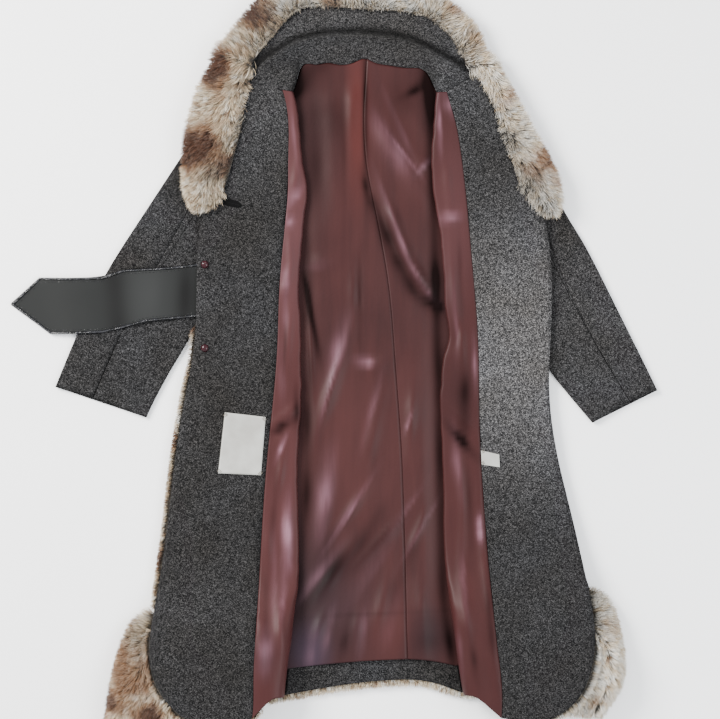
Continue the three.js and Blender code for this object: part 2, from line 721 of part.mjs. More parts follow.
// Fur on the side of the coat: over the front's lower layer, and past the side seam to the floor
function furHemSide(side, table) {
  return loft(
    table.map(({ station, below = [0, 0], wide, full, share = 1 }) => {
      const from = side.side(station).add(new THREE.Vector2(...below));
      const bend = bendOf(side, station);
      const way = across(side, from, bend);
      const along = new THREE.Vector2(side.sign, (bend.y - from.y) / way);
      const end = way * share;
      const inner = (bend.radius - SATIN - SEAM - WOOL - 1) * full;
      const at = (r) => new THREE.Vector2(from.x + along.x * r, from.y + along.y * r);
      const under = (r) => hairpinLow(at(r).x, at(r).y) + SATIN + SEAM + WOOL + FUR_CLEAR;
      const over = (r) => mix(under(r) + 1, hairpinMiddle(at(r)) - FUR_PART, full);
      const low = Math.max(bend.z + inner * Math.sin(BEND[1]), under(end) + 0.5);
      const nearby = [-24, 0, 24].map((dy) => side.edge(edgeStation(side, from.y + dy)));
      const covered = Math.min(...nearby.map((edge) => across(side, from, edge)), end / 3);
      const bare = covered - RIM - 4;
      const outside = bare > 0;
      const crown = over(0) + (outside ? FUR_PILE * full : 0);
      const loop = [
        [-2, 0],
        [4 - wide, 0],
        [-wide, HEM_FUR_EDGE * 0.45 * full],
        [4 - wide, HEM_FUR_EDGE * full],
        [Math.min(14 - wide, -4), crown - 2],
        [outside ? bare - 1 : 4, crown],
        [outside ? bare : 8, over(8)],
        [end / 2, over(end / 2)],
        [end, over(end)],
        [end + inner * Math.cos(BEND[2]), over(end) - 1],
        [end + inner * Math.cos(BEND[1]), Math.min(low, over(end) - 1.5)],
        [end, under(end)],
        [end / 2, under(end / 2)],
        [-2, under(0)],
      ];
      return { from, along, loop };
    }),
  );
}

// Fur on the folded-out part of a front, face down beneath its hem and past its edge
function furFlap(side) {
  const table = [...FLAP_FUR_ENDS, ...BAND_ROWS.slice(1).map((station) => ({ station, full: 1 }))];
  return loft(
    table.map(({ station, full }) => {
      const edge = side.edge(station);
      const bend = bendOf(side, Math.max(station, -FLAP_FUR_PAST));
      const from = new THREE.Vector2(bend.x, bend.y);
      const end = across(side, edge, from);
      const along = new THREE.Vector2(-side.sign, (edge.y - from.y) / end);
      const top = (t) => {
        const p = between(from, edge, t);
        return hairpinHigh(p.x, p.y, bend.fold) - SATIN - SEAM - WOOL - FUR_PART;
      };
      const under = (t) => hairpinMiddle(between(from, edge, t)) + FUR_PART;
      const high = (t) => mix(under(t) + 2, top(t), full);
      const inner = bend.radius - SATIN - SEAM - WOOL - 1;
      const past = RIM * full;
      const loop = [
        [-inner * Math.cos(BEND[3]), under(0)],
        [end * 0.5, under(0.5)],
        [end + past - 4, under(1)],
        [end + past, mix(under(1), high(1), 0.55)],
        [end + past - 5, high(1) - 1],
        [end * 0.5, high(0.5)],
        [0, high(0)],
        [-(inner - 1) * Math.cos(BEND[4]), mix(under(0), high(0), 0.7)],
      ];
      return { from, along, loop };
    }),
  );
}

// The strip of fur beneath the right front's edge
function furEdge(side) {
  const along = new THREE.Vector2(-1, 0);
  const top = SLEEVE_HEIGHT + 2;
  return loft(
    EDGE_FUR.map(({ station, full, low }) => {
      const from = side.edge(station);
      const inside = Math.min(EDGE_FUR_UNDER, side.side(station).x - 5 - from.x);
      const past = EDGE_FUR_PAST * full;
      const loop = [
        [-inside, low],
        [past - 2, low],
        [past, low + 1],
        [past, mix(low, top, 0.8) + 1],
        [past / 2, top + 1],
        [-inside, top],
      ];
      return { from, along, loop };
    }),
  );
}

// A sleeve lies flat. Across runs from its outer edge to its inner one and starts on the armhole.
function sleevePlan(side, table) {
  const outer = curve(table.outer);
  const inner = curve(table.inner);
  const last = table.outer.length - 1;
  return (t, s) => {
    const p = between(outer(t * last), inner(t * last), s);
    const start = between(outer(0), inner(0), s);
    const armhole = side.side(mix(table.top, UNDERARM, s));
    armhole.x -= side.sign * ARMHOLE_EASE;
    return p.add(armhole.sub(start).multiplyScalar((1 - t) ** 2));
  };
}

// Half of a sleeve, from the upper seam round its edge to the lower seam
function sleeveHalf(side, table, isTop) {
  const plan = sleevePlan(side, table);
  const radius = SLEEVE_HEIGHT / 2;
  const edge = isTop ? 0 : 1;
  const seam = SLEEVE_SEAM + (isTop ? -1 : 1) * 0.0015;
  const flats = isTop ? [seam, 0.25, 0.1] : [seam, 0.5, 0.75, 0.9];
  const face = (inset) =>
    steps(SLEEVE_ROWS).map((t) => {
      const width = plan(t, 0).distanceTo(plan(t, 1));
      const turn = mix(edge, 0.5, (2 * radius) / width);
      const flat = (s, z) => {
        const back = z > radius ? (CUFF_HOLLOW * Math.sin(Math.PI * s) * t ** 12) / 400 : 0;
        const p = plan(t - back, s);
        return new THREE.Vector3(p.x, p.y, z);
      };
      const high = SLEEVE_HEIGHT - inset;
      const points = flats.map((s) => flat(s, high));
      for (const angle of [...BEND].reverse()) {
        const reach = ((radius - inset) / width) * Math.cos(angle);
        const s = turn + (isTop ? -reach : reach);
        const p = plan(t, s);
        points.push(new THREE.Vector3(p.x, p.y, radius + (radius - inset) * Math.sin(angle)));
      }
      points.push(...[...flats].reverse().map((s) => flat(s, inset)));
      return points;
    });
  return wall(face(0), face(WOOL));
}

// The half belt, pointed at its free end
function belt() {
  const row = (lift) =>
    BELT_STATIONS.map(({ upper, lower, z }) =>
      BELT_STEPS.map((t) => {
        const p = between(new THREE.Vector2(...lower), new THREE.Vector2(...upper), t);
        return new THREE.Vector3(p.x, p.y, z + lift);
      }),
    );
  return wall(row(0), row(BELT));
}

// A label lies on its facing
function patch(side, corners) {
  const [a, b, c, d] = corners.map(([x, y]) => new THREE.Vector2(x, y));
  const rows = steps(4).map((t) => {
    const [start, end] = [between(a, d, t), between(b, c, t)];
    return steps(3).map((s) => between(start, end, s));
  });
  const height = (x, y) => {
    const fold = side.fold(edgeStation(side, y)).x;
    return hairpinHigh(x, y, fold) - SATIN + WOOL + REST;
  };
  return wall(level(rows, height), level(rows, (x, y) => height(x, y) + LABEL));
}

function fastener(y) {
  const { radius, height, x } = FASTENER;
  const dome = FASTENER_DOME.map(([r, z]) => new THREE.Vector2(r * radius, z * height));
  const geometry = new THREE.LatheGeometry(dome, FASTENER_SIDES);
  geometry.rotateX(Math.PI / 2);
  const base = hairpinHigh(x, y, RIGHT.fold(11).x) - SATIN + WOOL + REST;
  return geometry.translate(x, y, base + 0.3);
}

add("back", back(), CHARCOAL_WOOL);
add("back_hem", backHem(), CHARCOAL_WOOL);
add("back_neck_facing", backNeckFacing(), CHARCOAL_WOOL);
add("collar_backing", collarBacking(), CHARCOAL_WOOL);
add("collar_fur_back", collarFurBack(), PALE_FUR);
add("fur_hem_back", furHemBack(), PALE_FUR);
add("fur_edge_right", furEdge(RIGHT), PALE_FUR);
const SIDES = [
  { name: "right", side: RIGHT, sleeve: RIGHT_SLEEVE, lapel: RIGHT_LAPEL, hem: RIGHT_HEM_FUR },
  { name: "left", side: LEFT, sleeve: LEFT_SLEEVE, lapel: LEFT_LAPEL, hem: LEFT_HEM_FUR },
];
for (const { name, side, sleeve, lapel, hem } of SIDES) {
  add("front_" + name, hairpin(side, SATIN + SEAM, WOOL, "edge"), CHARCOAL_WOOL);
  add("front_lining_" + name, hairpin(side, 0, SATIN, "seam"), ROSE_SATIN);
  add("facing_" + name, facing(side), CHARCOAL_WOOL);
  add("back_lining_" + name, backLining(side), ROSE_SATIN);
  add("topsleeve_" + name, sleeveHalf(side, sleeve, true), CHARCOAL_WOOL);
  add("undersleeve_" + name, sleeveHalf(side, sleeve, false), CHARCOAL_WOOL);
  add("collar_fur_" + name, collarFurLapel(side, lapel), PALE_FUR);
  add("fur_hem_side_" + name, furHemSide(side, hem), PALE_FUR);
  add("fur_flap_" + name, furFlap(side), PALE_FUR);
}
add("belt_right", belt(), BELT_BACKING);
add("label", patch(RIGHT, LABEL_CORNERS), IVORY_SATIN);
add("tab", patch(LEFT, TAB_CORNERS), IVORY_SATIN);
add("fastener_upper", fastener(FASTENER.upper), GARNET);
add("fastener_lower", fastener(FASTENER.lower), GARNET);

// The origin is on the floor under the middle of the coat
const extent = new THREE.Box3().setFromObject(coat);
const middle = extent.getCenter(new THREE.Vector3());
coat.position.set(-middle.x, -middle.y, -extent.min.z);

export default coat;
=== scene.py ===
import math

import bpy
import numpy as np
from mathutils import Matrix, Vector, kdtree, noise
from mathutils.bvhtree import BVHTree


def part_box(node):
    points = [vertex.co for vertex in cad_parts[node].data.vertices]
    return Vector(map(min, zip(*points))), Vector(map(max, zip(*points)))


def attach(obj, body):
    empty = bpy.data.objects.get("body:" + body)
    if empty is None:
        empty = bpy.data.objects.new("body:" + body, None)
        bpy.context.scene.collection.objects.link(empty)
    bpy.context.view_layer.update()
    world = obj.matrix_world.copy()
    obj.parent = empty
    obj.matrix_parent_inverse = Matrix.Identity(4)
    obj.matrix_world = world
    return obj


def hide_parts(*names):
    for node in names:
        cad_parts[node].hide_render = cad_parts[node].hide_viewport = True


bl_info = {
    "name": "Fur-trimmed coat",
    "version": (1, 0, 0),
    "blender": (4, 5, 0),
    "location": "3D View > Sidebar > Coat",
    "description": "Dresses a laid-open wool coat with its cloth, satin lining, belt and fur",
    "category": "Object",
}

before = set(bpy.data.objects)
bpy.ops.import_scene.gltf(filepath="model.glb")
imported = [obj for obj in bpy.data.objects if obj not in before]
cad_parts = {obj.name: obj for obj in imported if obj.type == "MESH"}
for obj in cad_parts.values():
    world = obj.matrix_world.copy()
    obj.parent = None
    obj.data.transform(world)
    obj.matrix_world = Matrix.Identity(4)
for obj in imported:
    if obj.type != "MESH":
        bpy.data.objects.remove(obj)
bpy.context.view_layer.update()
BODY = "root"
MM = 0.001

# Plan sizes below are millimetres from a point in the middle of the back. The belt's tip and the small
# tab's upper edge are known there, and give the way from that point to the frame's origin.
BELT_TIP_X = -523
TAB_TOP_Y = -136
ORIGIN = (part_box("belt_right")[0][0] / MM - BELT_TIP_X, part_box("tab")[1][1] / MM - TAB_TOP_Y)


def place(x, y, z=0.0):
    """A plan point in the frame, in metres."""
    return Vector(((x + ORIGIN[0]) * MM, (y + ORIGIN[1]) * MM, z * MM))


def plan(co):
    """A frame point's plan position, in millimetres."""
    return co.x / MM - ORIGIN[0], co.y / MM - ORIGIN[1]


def smooth(value, low, high):
    t = min(max((value - low) / (high - low), 0.0), 1.0)
    return t * t * (3 - 2 * t)


def bell(value, half):
    return math.exp(-((value / half) ** 2))


# Where the coat climbs its fur hem band, as in the solids
BAND_TOP = -400
BAND_SLANT = 0.094
BAND_CLIMB = 100
BAND_SHELF = 10
# The middle of the gap between a front's two layers, how far it rises on the band, and a soft step's height
GAP_MIDDLE = 8.9
GAP_RISE = 24.7
GAP_STEP = 3.5


def climb(x, y):
    return smooth(BAND_TOP + BAND_SLANT * x + BAND_CLIMB - y, 0, BAND_CLIMB + BAND_SHELF)


def middle_height(x, y):
    """Half-way between the lower and the folded-out layer of a front, in millimetres."""
    return GAP_MIDDLE + GAP_RISE * climb(x, y)


# Creases placed one by one: middle, half length, half width and height of each, all in millimetres, and its
# turn from the Y axis in degrees. A height below nought is a trough.
WOOL_CREASES = [
    (-212, -60, 120, 9, -0.9, 12),
    (-180, 150, 90, 12, -0.8, -8),
    (-236, -270, 110, 14, 1.2, 3),
    (-196, -420, 60, 12, -1.2, 30),
    (-262, -440, 70, 16, 1.4, -24),
    (230, 40, 130, 12, -1.0, 6),
    (262, -210, 110, 16, 1.6, -10),
    (216, -330, 90, 12, -1.3, 8),
    (300, -400, 70, 18, 1.8, -28),
    (196, 260, 80, 9, -0.8, 14),
    (240, -470, 60, 12, 1.2, 62),
]
SLEEVE_CREASES = [
    (-300, 90, 60, 12, -1.0, -32),
    (-352, 20, 50, 10, 0.9, 60),
    (-262, 210, 40, 12, 1.2, -40),
    (-398, 40, 60, 14, 0.8, -24),
    (336, 90, 60, 12, -1.0, 36),
    (378, 20, 50, 12, 0.9, 28),
    (300, 40, 50, 9, 0.9, 48),
    (402, 0, 40, 8, -0.7, 30),
]
BACK_LINING_CREASES = [
    (-12, 360, 95, 10, 3.2, 0),
    (-66, 305, 90, 16, -2.0, 2),
    (-38, 318, 100, 17, 1.8, 2),
    (56, 303, 62, 12, 4.6, 32),
    (98, 296, 26, 8, 3.2, -60),
    (80, 338, 46, 10, -3.0, 38),
    (26, 216, 52, 8, -4.6, 23),
    (60, 140, 46, 8, -5.0, 28),
    (98, 90, 42, 9, -5.0, 48),
    (52, 208, 42, 9, 5.0, 18),
    (74, 152, 38, 9, 5.0, 25),
    (104, 108, 38, 9, 4.4, 44),
    (-2, 104, 42, 3.5, -2.0, 0),
    (-11, 104, 42, 6, 2.0, 0),
    (-56, 146, 4, 32, 1.6, 3),
    (-42, -42, 76, 9, 4.6, -19),
    (26, -10, 12, 20, 3.2, 20),
    (76, -92, 52, 8, 3.4, -4),
    (22, -104, 62, 9, 2.6, -14),
    (-74, 14, 95, 4.5, 4.0, 3),
    (-19, -233, 50, 6, 4.2, -35),
    (-52, -214, 56, 12, 3.4, -8),
    (31, -271, 56, 8, 3.4, -43),
    (86, -258, 34, 6, 3.0, -24),
    (-34, -314, 54, 9, 3.8, -32),
    (34, -360, 60, 9, 3.0, -12),
    (-60, -398, 42, 9, 3.4, -22),
    (-6, -410, 40, 7, 2.6, -8),
    (94, -380, 50, 9, 2.0, 4),
]
STRIP_CREASES = [
    (-98, 272, 32, 6, 2.4, -10),
    (-106, 214, 5, 16, 2.0, 30),
    (-104, 168, 40, 6, 1.8, 4),
    (-109, 116, 24, 7, 2.6, -20),
    (-106, 30, 60, 6, 2.0, -4),
    (-114, -86, 22, 5, 4.2, -50),
    (-117, -102, 22, 5, -3.4, -50),
    (-118, -170, 32, 6, 2.6, -8),
    (-108, -262, 44, 8, 3.2, -6),
    (-138, -280, 34, 6, 2.4, 2),
    (-118, -400, 54, 7, 3.0, 4),
    (-147, -424, 40, 6, 2.2, 2),
    (132, 262, 34, 6, 2.0, 4),
    (142, 216, 7, 22, 3.0, 10),
    (140, 110, 64, 7, 2.6, 4),
    (133, 30, 24, 8, -4.0, -35),
    (152, 20, 44, 6, 2.4, 4),
    (152, -112, 42, 7, -4.4, 38),
    (163, -97, 42, 7, 3.4, 38),
    (150, -220, 80, 7, 2.8, 2),
    (178, -200, 50, 5, 1.6, 2),
    (187, -312, 62, 6, 2.6, 6),
    (158, -376, 72, 7, 2.6, 4),
    (200, -456, 44, 6, 2.0, 8),
]
# Where folds keep the light out: places and sizes as above, and how dark each is
HOLLOWS = [
    (-95, 418, 34, 7, 1.0, -14),
    (-78, 416, 40, 11, 0.6, -48),
    (-90, 372, 50, 8, 0.5, 0),
    (-66, 305, 75, 13, 0.38, 2),
    (104, 404, 44, 10, 1.2, 12),
    (84, 404, 20, 6, 0.7, -62),
    (106, 330, 80, 9, 0.8, 2),
    (112, 170, 110, 8, 0.6, 2),
    (116, 20, 110, 9, 0.65, 2),
    (120, -160, 110, 9, 0.6, 1),
    (123, -300, 90, 9, 0.55, 2),
    (134, -420, 60, 8, 0.7, 8),
    (8, 262, 22, 6, 0.5, 14),
    (24, 222, 28, 8, 0.65, 22),
    (44, 176, 32, 10, 0.7, 22),
    (67, 128, 30, 9, 0.65, 30),
    (92, 92, 24, 8, 0.6, 50),
    (116, 82, 16, 6, 0.7, 60),
    (114, 118, 40, 9, 0.5, 4),
    (-34, 385, 60, 26, 0.3, 0),
    (64, 385, 55, 30, 0.28, 0),
    (-24, 300, 90, 5, 0.25, 0),
    (0, 90, 68, 3, 0.4, 0),
    (8, 405, 60, 4, 0.55, 0),
    (-76, 84, 50, 4, 0.9, 11),
    (-92, -80, 28, 3, 1.0, 2),
    (-44, -322, 54, 13, 0.55, -38),
    (10, -262, 40, 9, 0.35, -30),
    (-24, -424, 28, 6, 0.4, -10),
    (104, -412, 30, 26, 0.3, 0),
    (60, -330, 50, 10, 0.2, -20),
    (12, -381, 3, 110, 0.16, 3),
    (-78, 110, 70, 8, 0.6, 0),
    (-66, 30, 44, 6, 0.5, 10),
    (-78, -70, 70, 8, 0.7, -2),
    (-80, -200, 70, 8, 0.65, -2),
    (-92, -330, 60, 7, 0.5, -4),
    (8, 330, 100, 5, 0.5, 1),
    (-34, -250, 50, 6, 0.3, -35),
    (18, -282, 50, 7, 0.3, -43),
    (-48, -324, 50, 7, 0.3, -32),
]
STRIP_HOLLOWS = [
    (-117, -101, 16, 6, 0.9, -60),
    (-98, -72, 30, 5, 0.7, 2),
    (-112, 20, 60, 3, 0.35, -2),
    (-128, -220, 50, 5, 0.35, -4),
    (-140, -370, 50, 5, 0.3, 2),
    (152, -121, 28, 7, 1.0, 40),
    (157, -60, 44, 8, 0.75, 0),
    (150, 120, 60, 4, 0.3, 2),
    (163, -220, 60, 5, 0.35, 3),
    (193, -389, 50, 5, 0.5, 6),
    (170, -450, 30, 5, 0.4, 8),
]
# Where the satin turns to the light, as painted highlights on it, in the same way
BACK_GLOSS = [
    (48, 322, 44, 15, 0.24, 30),
    (68, 306, 32, 3.5, 0.3, 38),
    (98, 290, 15, 5, 0.36, -45),
    (60, 350, 50, 6, 0.08, 24),
    (44, 226, 40, 5, 0.22, 20),
    (64, 174, 36, 5, 0.24, 22),
    (88, 124, 34, 5, 0.18, 32),
    (112, 92, 18, 4, 0.2, 45),
    (-62, 142, 3.5, 28, 0.2, 2),
    (-30, 14, 36, 12, 0.36, -14),
    (12, -4, 7, 16, 0.36, -8),
    (-44, -34, 44, 4, 0.4, -14),
    (20, -73, 44, 6, 0.14, -15),
    (73, -94, 14, 4, 0.3, -20),
    (-49, -206, 48, 14, 0.4, -8),
    (-18, -233, 46, 4.5, 0.42, -33),
    (-62, -326, 42, 9, 0.3, -38),
    (20, -316, 60, 12, 0.06, -33),
    (92, -254, 44, 4, 0.14, -31),
    (70, -226, 40, 5, 0.1, -35),
    (48, -392, 40, 12, 0.05, -12),
    (-46, -404, 32, 8, 0.16, -12),
    (6, -406, 34, 8, 0.14, -8),
    (-72, -436, 28, 12, 0.16, -10),
]
STRIP_GLOSS = [
    (-99, 340, 46, 4, 0.18, 5),
    (-100, 243, 14, 8, 0.36, -30),
    (-105, 205, 7, 10, 0.4, -50),
    (-109, 119, 15, 7, 0.45, 0),
    (-110, 67, 24, 5, 0.25, 0),
    (-116, -20, 40, 6, 0.14, 2),
    (-117, -132, 15, 4, 0.6, -22),
    (-106, -262, 38, 8, 0.9, -2),
    (-128, -330, 60, 5, 0.16, 0),
    (-116, -352, 44, 6, 0.2, 0),
    (-138, -436, 26, 11, 0.4, -4),
    (120, 350, 32, 4, 0.4, 4),
    (134, 382, 16, 9, 0.3, 20),
    (136, 213, 7, 20, 0.45, 12),
    (142, 60, 50, 5, 0.14, 2),
    (172, -4, 32, 3.5, 0.4, 2),
    (146, -157, 42, 8, 0.22, 4),
    (180, -254, 16, 5, 0.95, 4),
    (157, -334, 48, 5, 0.14, 4),
    (150, -440, 36, 6, 0.12, 6),
]
# Painted shade in bands across the belt where it bends, in the same way
BELT_HOLLOWS = [
    (-366, 82, 90, 18, 1.0, 5),
    (-262, 100, 90, 12, 0.7, -2),
    (-236, 100, 90, 30, 0.35, 2),
]

# The crest of the neckline's roll
NECK_LINE = [
    (-145, 440), (-127, 453), (-96, 472), (-54, 482), (-6, 484), (42, 480), (76, 472), (97, 463), (121, 450),
    (150, 434),
]


def below_line(line, x, y):
    """How far a plan place is below a line that runs from left to right, less than nought above it."""
    best = None
    for (x0, y0), (x1, y1) in zip(line, line[1:]):
        dx, dy = x1 - x0, y1 - y0
        t = min(max(((x - x0) * dx + (y - y0) * dy) / (dx * dx + dy * dy), 0), 1)
        gap = math.hypot(x - x0 - t * dx, y - y0 - t * dy)
        if best is None or gap < abs(best):
            best = math.copysign(gap, (y0 - y) * dx + (x - x0) * dy)
    return best


# The roll's height and its half widths below and above its crest, and the dip above it: depth, distance from
# the crest and half width
ROLL_HEIGHT, ROLL_BELOW, ROLL_ABOVE = 6.5, 10, 3.5
DIP_DEPTH, DIP_AWAY, DIP_WIDE = 1.4, 12, 7


def neck_roll(x, y):
    """The neckline's rounded roll, steep towards the collar."""
    below = below_line(NECK_LINE, x, y)
    roll = ROLL_HEIGHT * bell(below, ROLL_BELOW if below > 0 else ROLL_ABOVE)
    return roll - DIP_DEPTH * bell(below + DIP_AWAY, DIP_WIDE)


# The fronts' folds: each side's X at the upper and lower end, how far from the line a wave reaches, and the
# waves, by place down the fold, sideways move and half length
FOLD_REACH = 16
FOLD_LINES = {"right": (-82, -111), "left": (108, 153)}
FOLD_WAVES = {
    "right": [(254, 6, 28), (120, -3, 40), (-60, 3, 45), (-210, -3, 50), (-330, 4, 40)],
    "left": [(300, -3, 40), (190, 3, 36), (36, 8, 28), (-70, -4, 40), (-210, 4, 50), (-340, -4, 40)],
}


def wave_fold(piece, side):
    """Moves a front's fold sideways, in all of its layers."""
    upper, lower = FOLD_LINES[side]
    for vertex in piece.data.vertices:
        x, y = plan(vertex.co)
        line = upper + (lower - upper) * (400 - y) / 850
        close = bell(x - line, FOLD_REACH) * smooth(400 - y, 0, 40) * smooth(y + 430, 0, 60)
        sway = sum(move * bell(y - cy, half) for cy, move, half in FOLD_WAVES[side])
        vertex.co.x += close * (sway + 1.5 * noise.noise(Vector((y / 18, 4.2, 0.5)))) * MM


# Where the neck facing's lower edge and the lining's top rise: place, how far and how wide, in millimetres
NECK_WAVES = [
    (-84, 420, 19, 24),
    (-50, 440, 7, 15),
    (6, 440, 8, 14),
    (88, 416, 12, 20),
]


def wave_edge(piece):
    """Moves the neck facing's lower edge and the lining's top up in plan."""
    for vertex in piece.data.vertices:
        x, y = plan(vertex.co)
        rise = sum(up * bell(math.hypot(x - cx, y - cy), wide) for cx, cy, up, wide in NECK_WAVES)
        vertex.co.y += smooth(y, 404, 422) * rise * MM


def crease_height(table, x, y, keen=1.0):
    """The sum of a table's rows at a plan place. A row's right side may fall off more sharply."""
    total = 0.0
    for cx, cy, length, width, height, turn in table:
        angle = math.radians(turn)
        along = (y - cy) * math.cos(angle) - (x - cx) * math.sin(angle)
        across = (x - cx) * math.cos(angle) + (y - cy) * math.sin(angle)
        width *= keen if across > 0 else 1
        if abs(along) < 3 * length and abs(across) < 4 * width:
            wave = 1 + 0.25 * math.sin(along / length * 4 + cx)
            total += height * wave * math.exp(-((along / length) ** 2) - (across / width) ** 2)
    return total


class Signal:
    """A number or colour on its way through a material."""

    def __init__(self, paint, socket):
        self.paint = paint
        self.socket = socket

    def math(self, operation, first, second):
        return self.paint.node("ShaderNodeMath", {"operation": operation}, {0: first, 1: second})

    def __add__(self, other):
        return self.math("ADD", self, other)

    __radd__ = __add__

    def __rsub__(self, other):
        return self.math("SUBTRACT", other, self)

    def __mul__(self, other):
        return self.math("MULTIPLY", self, other)

    __rmul__ = __mul__


class Paint:
    """A procedural material on one Principled shader."""

    def __init__(self, name):
        self.material = bpy.data.materials.new(name)
        self.material.use_nodes = True
        self.tree = self.material.node_tree
        self.shader = self.tree.nodes["Principled BSDF"]

    def node(self, kind, settings=None, inputs=None, output=0):
        made = self.tree.nodes.new(kind)
        for key, value in (settings or {}).items():
            if key == "stops":
                ramp = made.color_ramp
                while len(ramp.elements) < len(value):
                    ramp.elements.new(0.5)
                for element, (position, colour) in zip(ramp.elements, value):
                    element.position = position
                    element.color = (*colour, 1)
            else:
                setattr(made, key, value)
        for key, value in (inputs or {}).items():
            if isinstance(value, Signal):
                self.tree.links.new(value.socket, made.inputs[key])
            else:
                made.inputs[key].default_value = value
        return Signal(self, made.outputs[output])

    def where(self):
        return self.node("ShaderNodeTexCoord", output="Object")

    def cloud(self, scale, detail=2.0, roughness=0.5, grain=1.0):
        """Noise on the piece's own place: features in each metre, and their share of that along Y."""
        spot = self.node("ShaderNodeMapping", {}, {"Vector": self.where(), "Scale": (1, grain, 1)})
        inputs = {"Vector": spot, "Scale": scale, "Detail": detail, "Roughness": roughness}
        return self.node("ShaderNodeTexNoise", {}, inputs)

    def patches(self, scale, low=0.3, high=0.7, **more):
        """Noise drawn out to the whole way from 0 to 1."""
        return self.spread(self.cloud(scale, **more), low, high)

    def cells(self, scale, shift=(0, 0, 0)):
        """A value of its own for every small cell. The scale counts cells in each metre."""
        spot = self.node("ShaderNodeMapping", {}, {"Vector": self.where(), "Location": shift})
        inputs = {"Vector": spot, "Scale": scale, "Randomness": 1.0}
        cell = self.node("ShaderNodeTexVoronoi", {"feature": "F1"}, inputs, output=1)
        return self.node("ShaderNodeSeparateColor", {}, {"Color": cell})

    def near(self, centre, size):
        """From 0 to 1 towards a place on the piece."""
        settings = {"operation": "SUBTRACT"}
        gap = self.node("ShaderNodeVectorMath", settings, {0: self.where(), 1: centre})
        scaled = self.node("ShaderNodeVectorMath", {"operation": "DIVIDE"}, {0: gap, 1: size})
        away = self.node("ShaderNodeVectorMath", {"operation": "LENGTH"}, {0: scaled}, output=1)
        inputs = {"Value": away, "From Min": 1.0, "From Max": 0.0}
        return self.node("ShaderNodeMapRange", {"interpolation_type": "SMOOTHSTEP"}, inputs)

    def ramp(self, signal, stops):
        return self.node("ShaderNodeValToRGB", {"stops": stops}, {"Fac": signal})

    def blend(self, amount, first, second, way="MIX"):
        settings = {"data_type": "RGBA", "blend_type": way, "clamp_factor": True}
        values = {0: amount, 6: first, 7: second}
        return self.node("ShaderNodeMix", settings, values, output=2)

    def spread(self, signal, low, high):
        inputs = {"Value": signal, "From Min": low, "From Max": high}
        return self.node("ShaderNodeMapRange", {"clamp": True}, inputs)

    def attribute(self, name):
        return self.node("ShaderNodeAttribute", {"attribute_name": name}, output="Fac")

    def bump(self, height, strength, distance):
        inputs = {"Strength": strength, "Distance": distance, "Height": height}
        return self.node("ShaderNodeBump", {}, inputs)

    def feed(self, socket, signal):
        self.tree.links.new(signal.socket, self.shader.inputs[socket])

    def fix(self, **values):
        for key, value in values.items():
            self.shader.inputs[key.replace("_", " ")].default_value = value


def mid(first, second, amount):
    """A colour between two others."""
    return tuple(a + (b - a) * amount for a, b in zip(first, second))


def tint(colour):
    return (*colour, 1)


def grey(value):
    return tint((value, value, value))


def zone(x, y, wide, high, *rest):
    """A soft oval in plan, its half sizes in metres, and what goes with it."""
    return place(x, y), (wide, high, 1.0), *rest


def wool_paint(name, dark, light, glows):
    """Flecked coating wool: dark ground, pale flecks, a brushed nap, slow changes of tone, painted pools of
    light in its glows and painted shade where its vertices note it.
    """
    paint = Paint(name)
    fine = paint.cells(1280)
    coarse = paint.cells(820, shift=(3, 1, 2))
    patch = paint.patches(190, roughness=0.6)
    fleck = fine * 0.5 + coarse * 0.38 + patch * 0.12
    stops = [
        (0.16, dark), (0.4, mid(dark, light, 0.09)), (0.56, mid(dark, light, 0.24)),
        (0.74, mid(dark, light, 0.64)), (0.88, light),
    ]
    ground = paint.ramp(fleck, stops)
    slow = paint.patches(8, detail=3, roughness=0.55)
    toned = paint.blend(slow, tint((0.86, 0.82, 0.78)), tint((1.16, 1.18, 1.24)))
    colour = paint.blend(1.0, ground, toned, "MULTIPLY")
    # Each glow is a painted pool of light: a soft oval where the wool is made lighter
    for centre, size, strength in glows:
        lit = paint.blend(1.0, colour, grey(strength), "MULTIPLY")
        colour = paint.blend(paint.near(centre, size), colour, lit)
    # Painted shade where the wool lies in folds or under the neck's roll
    colour = paint.blend(paint.attribute("shade") * 0.9, colour, grey(0.0004))
    paint.feed("Base Color", colour)
    paint.feed("Normal", paint.bump(fleck, 0.35, 0.0008))
    paint.fix(Roughness=1.0, Sheen_Weight=0.02, Sheen_Roughness=0.6, Specular_IOR_Level=0.04)
    return paint.material


def satin_paint(name, deep, pale, gleam, coat, zones):
    """Satin lining: a close weave, a soft gloss, slow changes of tone where it has been worn, painted
    highlights, reflections and shade in soft ovals, painted highlights where its gloss is noted and painted
    shade in its folds.
    """
    paint = Paint(name)
    slow = paint.patches(7, 0.32, 0.68, detail=3, roughness=0.6, grain=0.45)
    streak = paint.patches(60, detail=3, roughness=0.6, grain=0.12)
    tone = slow * 0.7 + streak * 0.3
    weave = paint.cloud(1900, detail=1, grain=0.2)
    colour = paint.blend(tone, tint(deep), tint(pale))
    # Painted highlights, reflections and shade, each in a soft oval
    for centre, size, shade, amount in zones:
        colour = paint.blend(paint.near(centre, size) * amount, colour, tint(shade))
    colour = paint.blend(weave * 0.1, colour, tint(gleam))
    # Painted highlights where the gloss attribute says the satin turns to the light
    gloss_and_wear = paint.attribute("gloss") * (0.3 + 0.5 * streak)
    colour = paint.blend(gloss_and_wear, colour, tint(GLOSS_HIGHLIGHT))
    dark = tint(mid(deep, BLACK, 0.9))
    paint.feed("Base Color", paint.blend(paint.attribute("shade") * 0.92, colour, dark))
    paint.feed("Roughness", 0.42 + 0.12 * slow)
    paint.feed("Coat Weight", coat - coat * paint.attribute("shade"))
    pucker = paint.cloud(90, detail=3, roughness=0.6, grain=0.4)
    paint.feed("Normal", paint.bump(pucker + weave * 0.05, 0.35, 0.0012))
    paint.fix(Specular_IOR_Level=0.03, Coat_Roughness=0.44, Coat_IOR=1.5)
    return paint.material


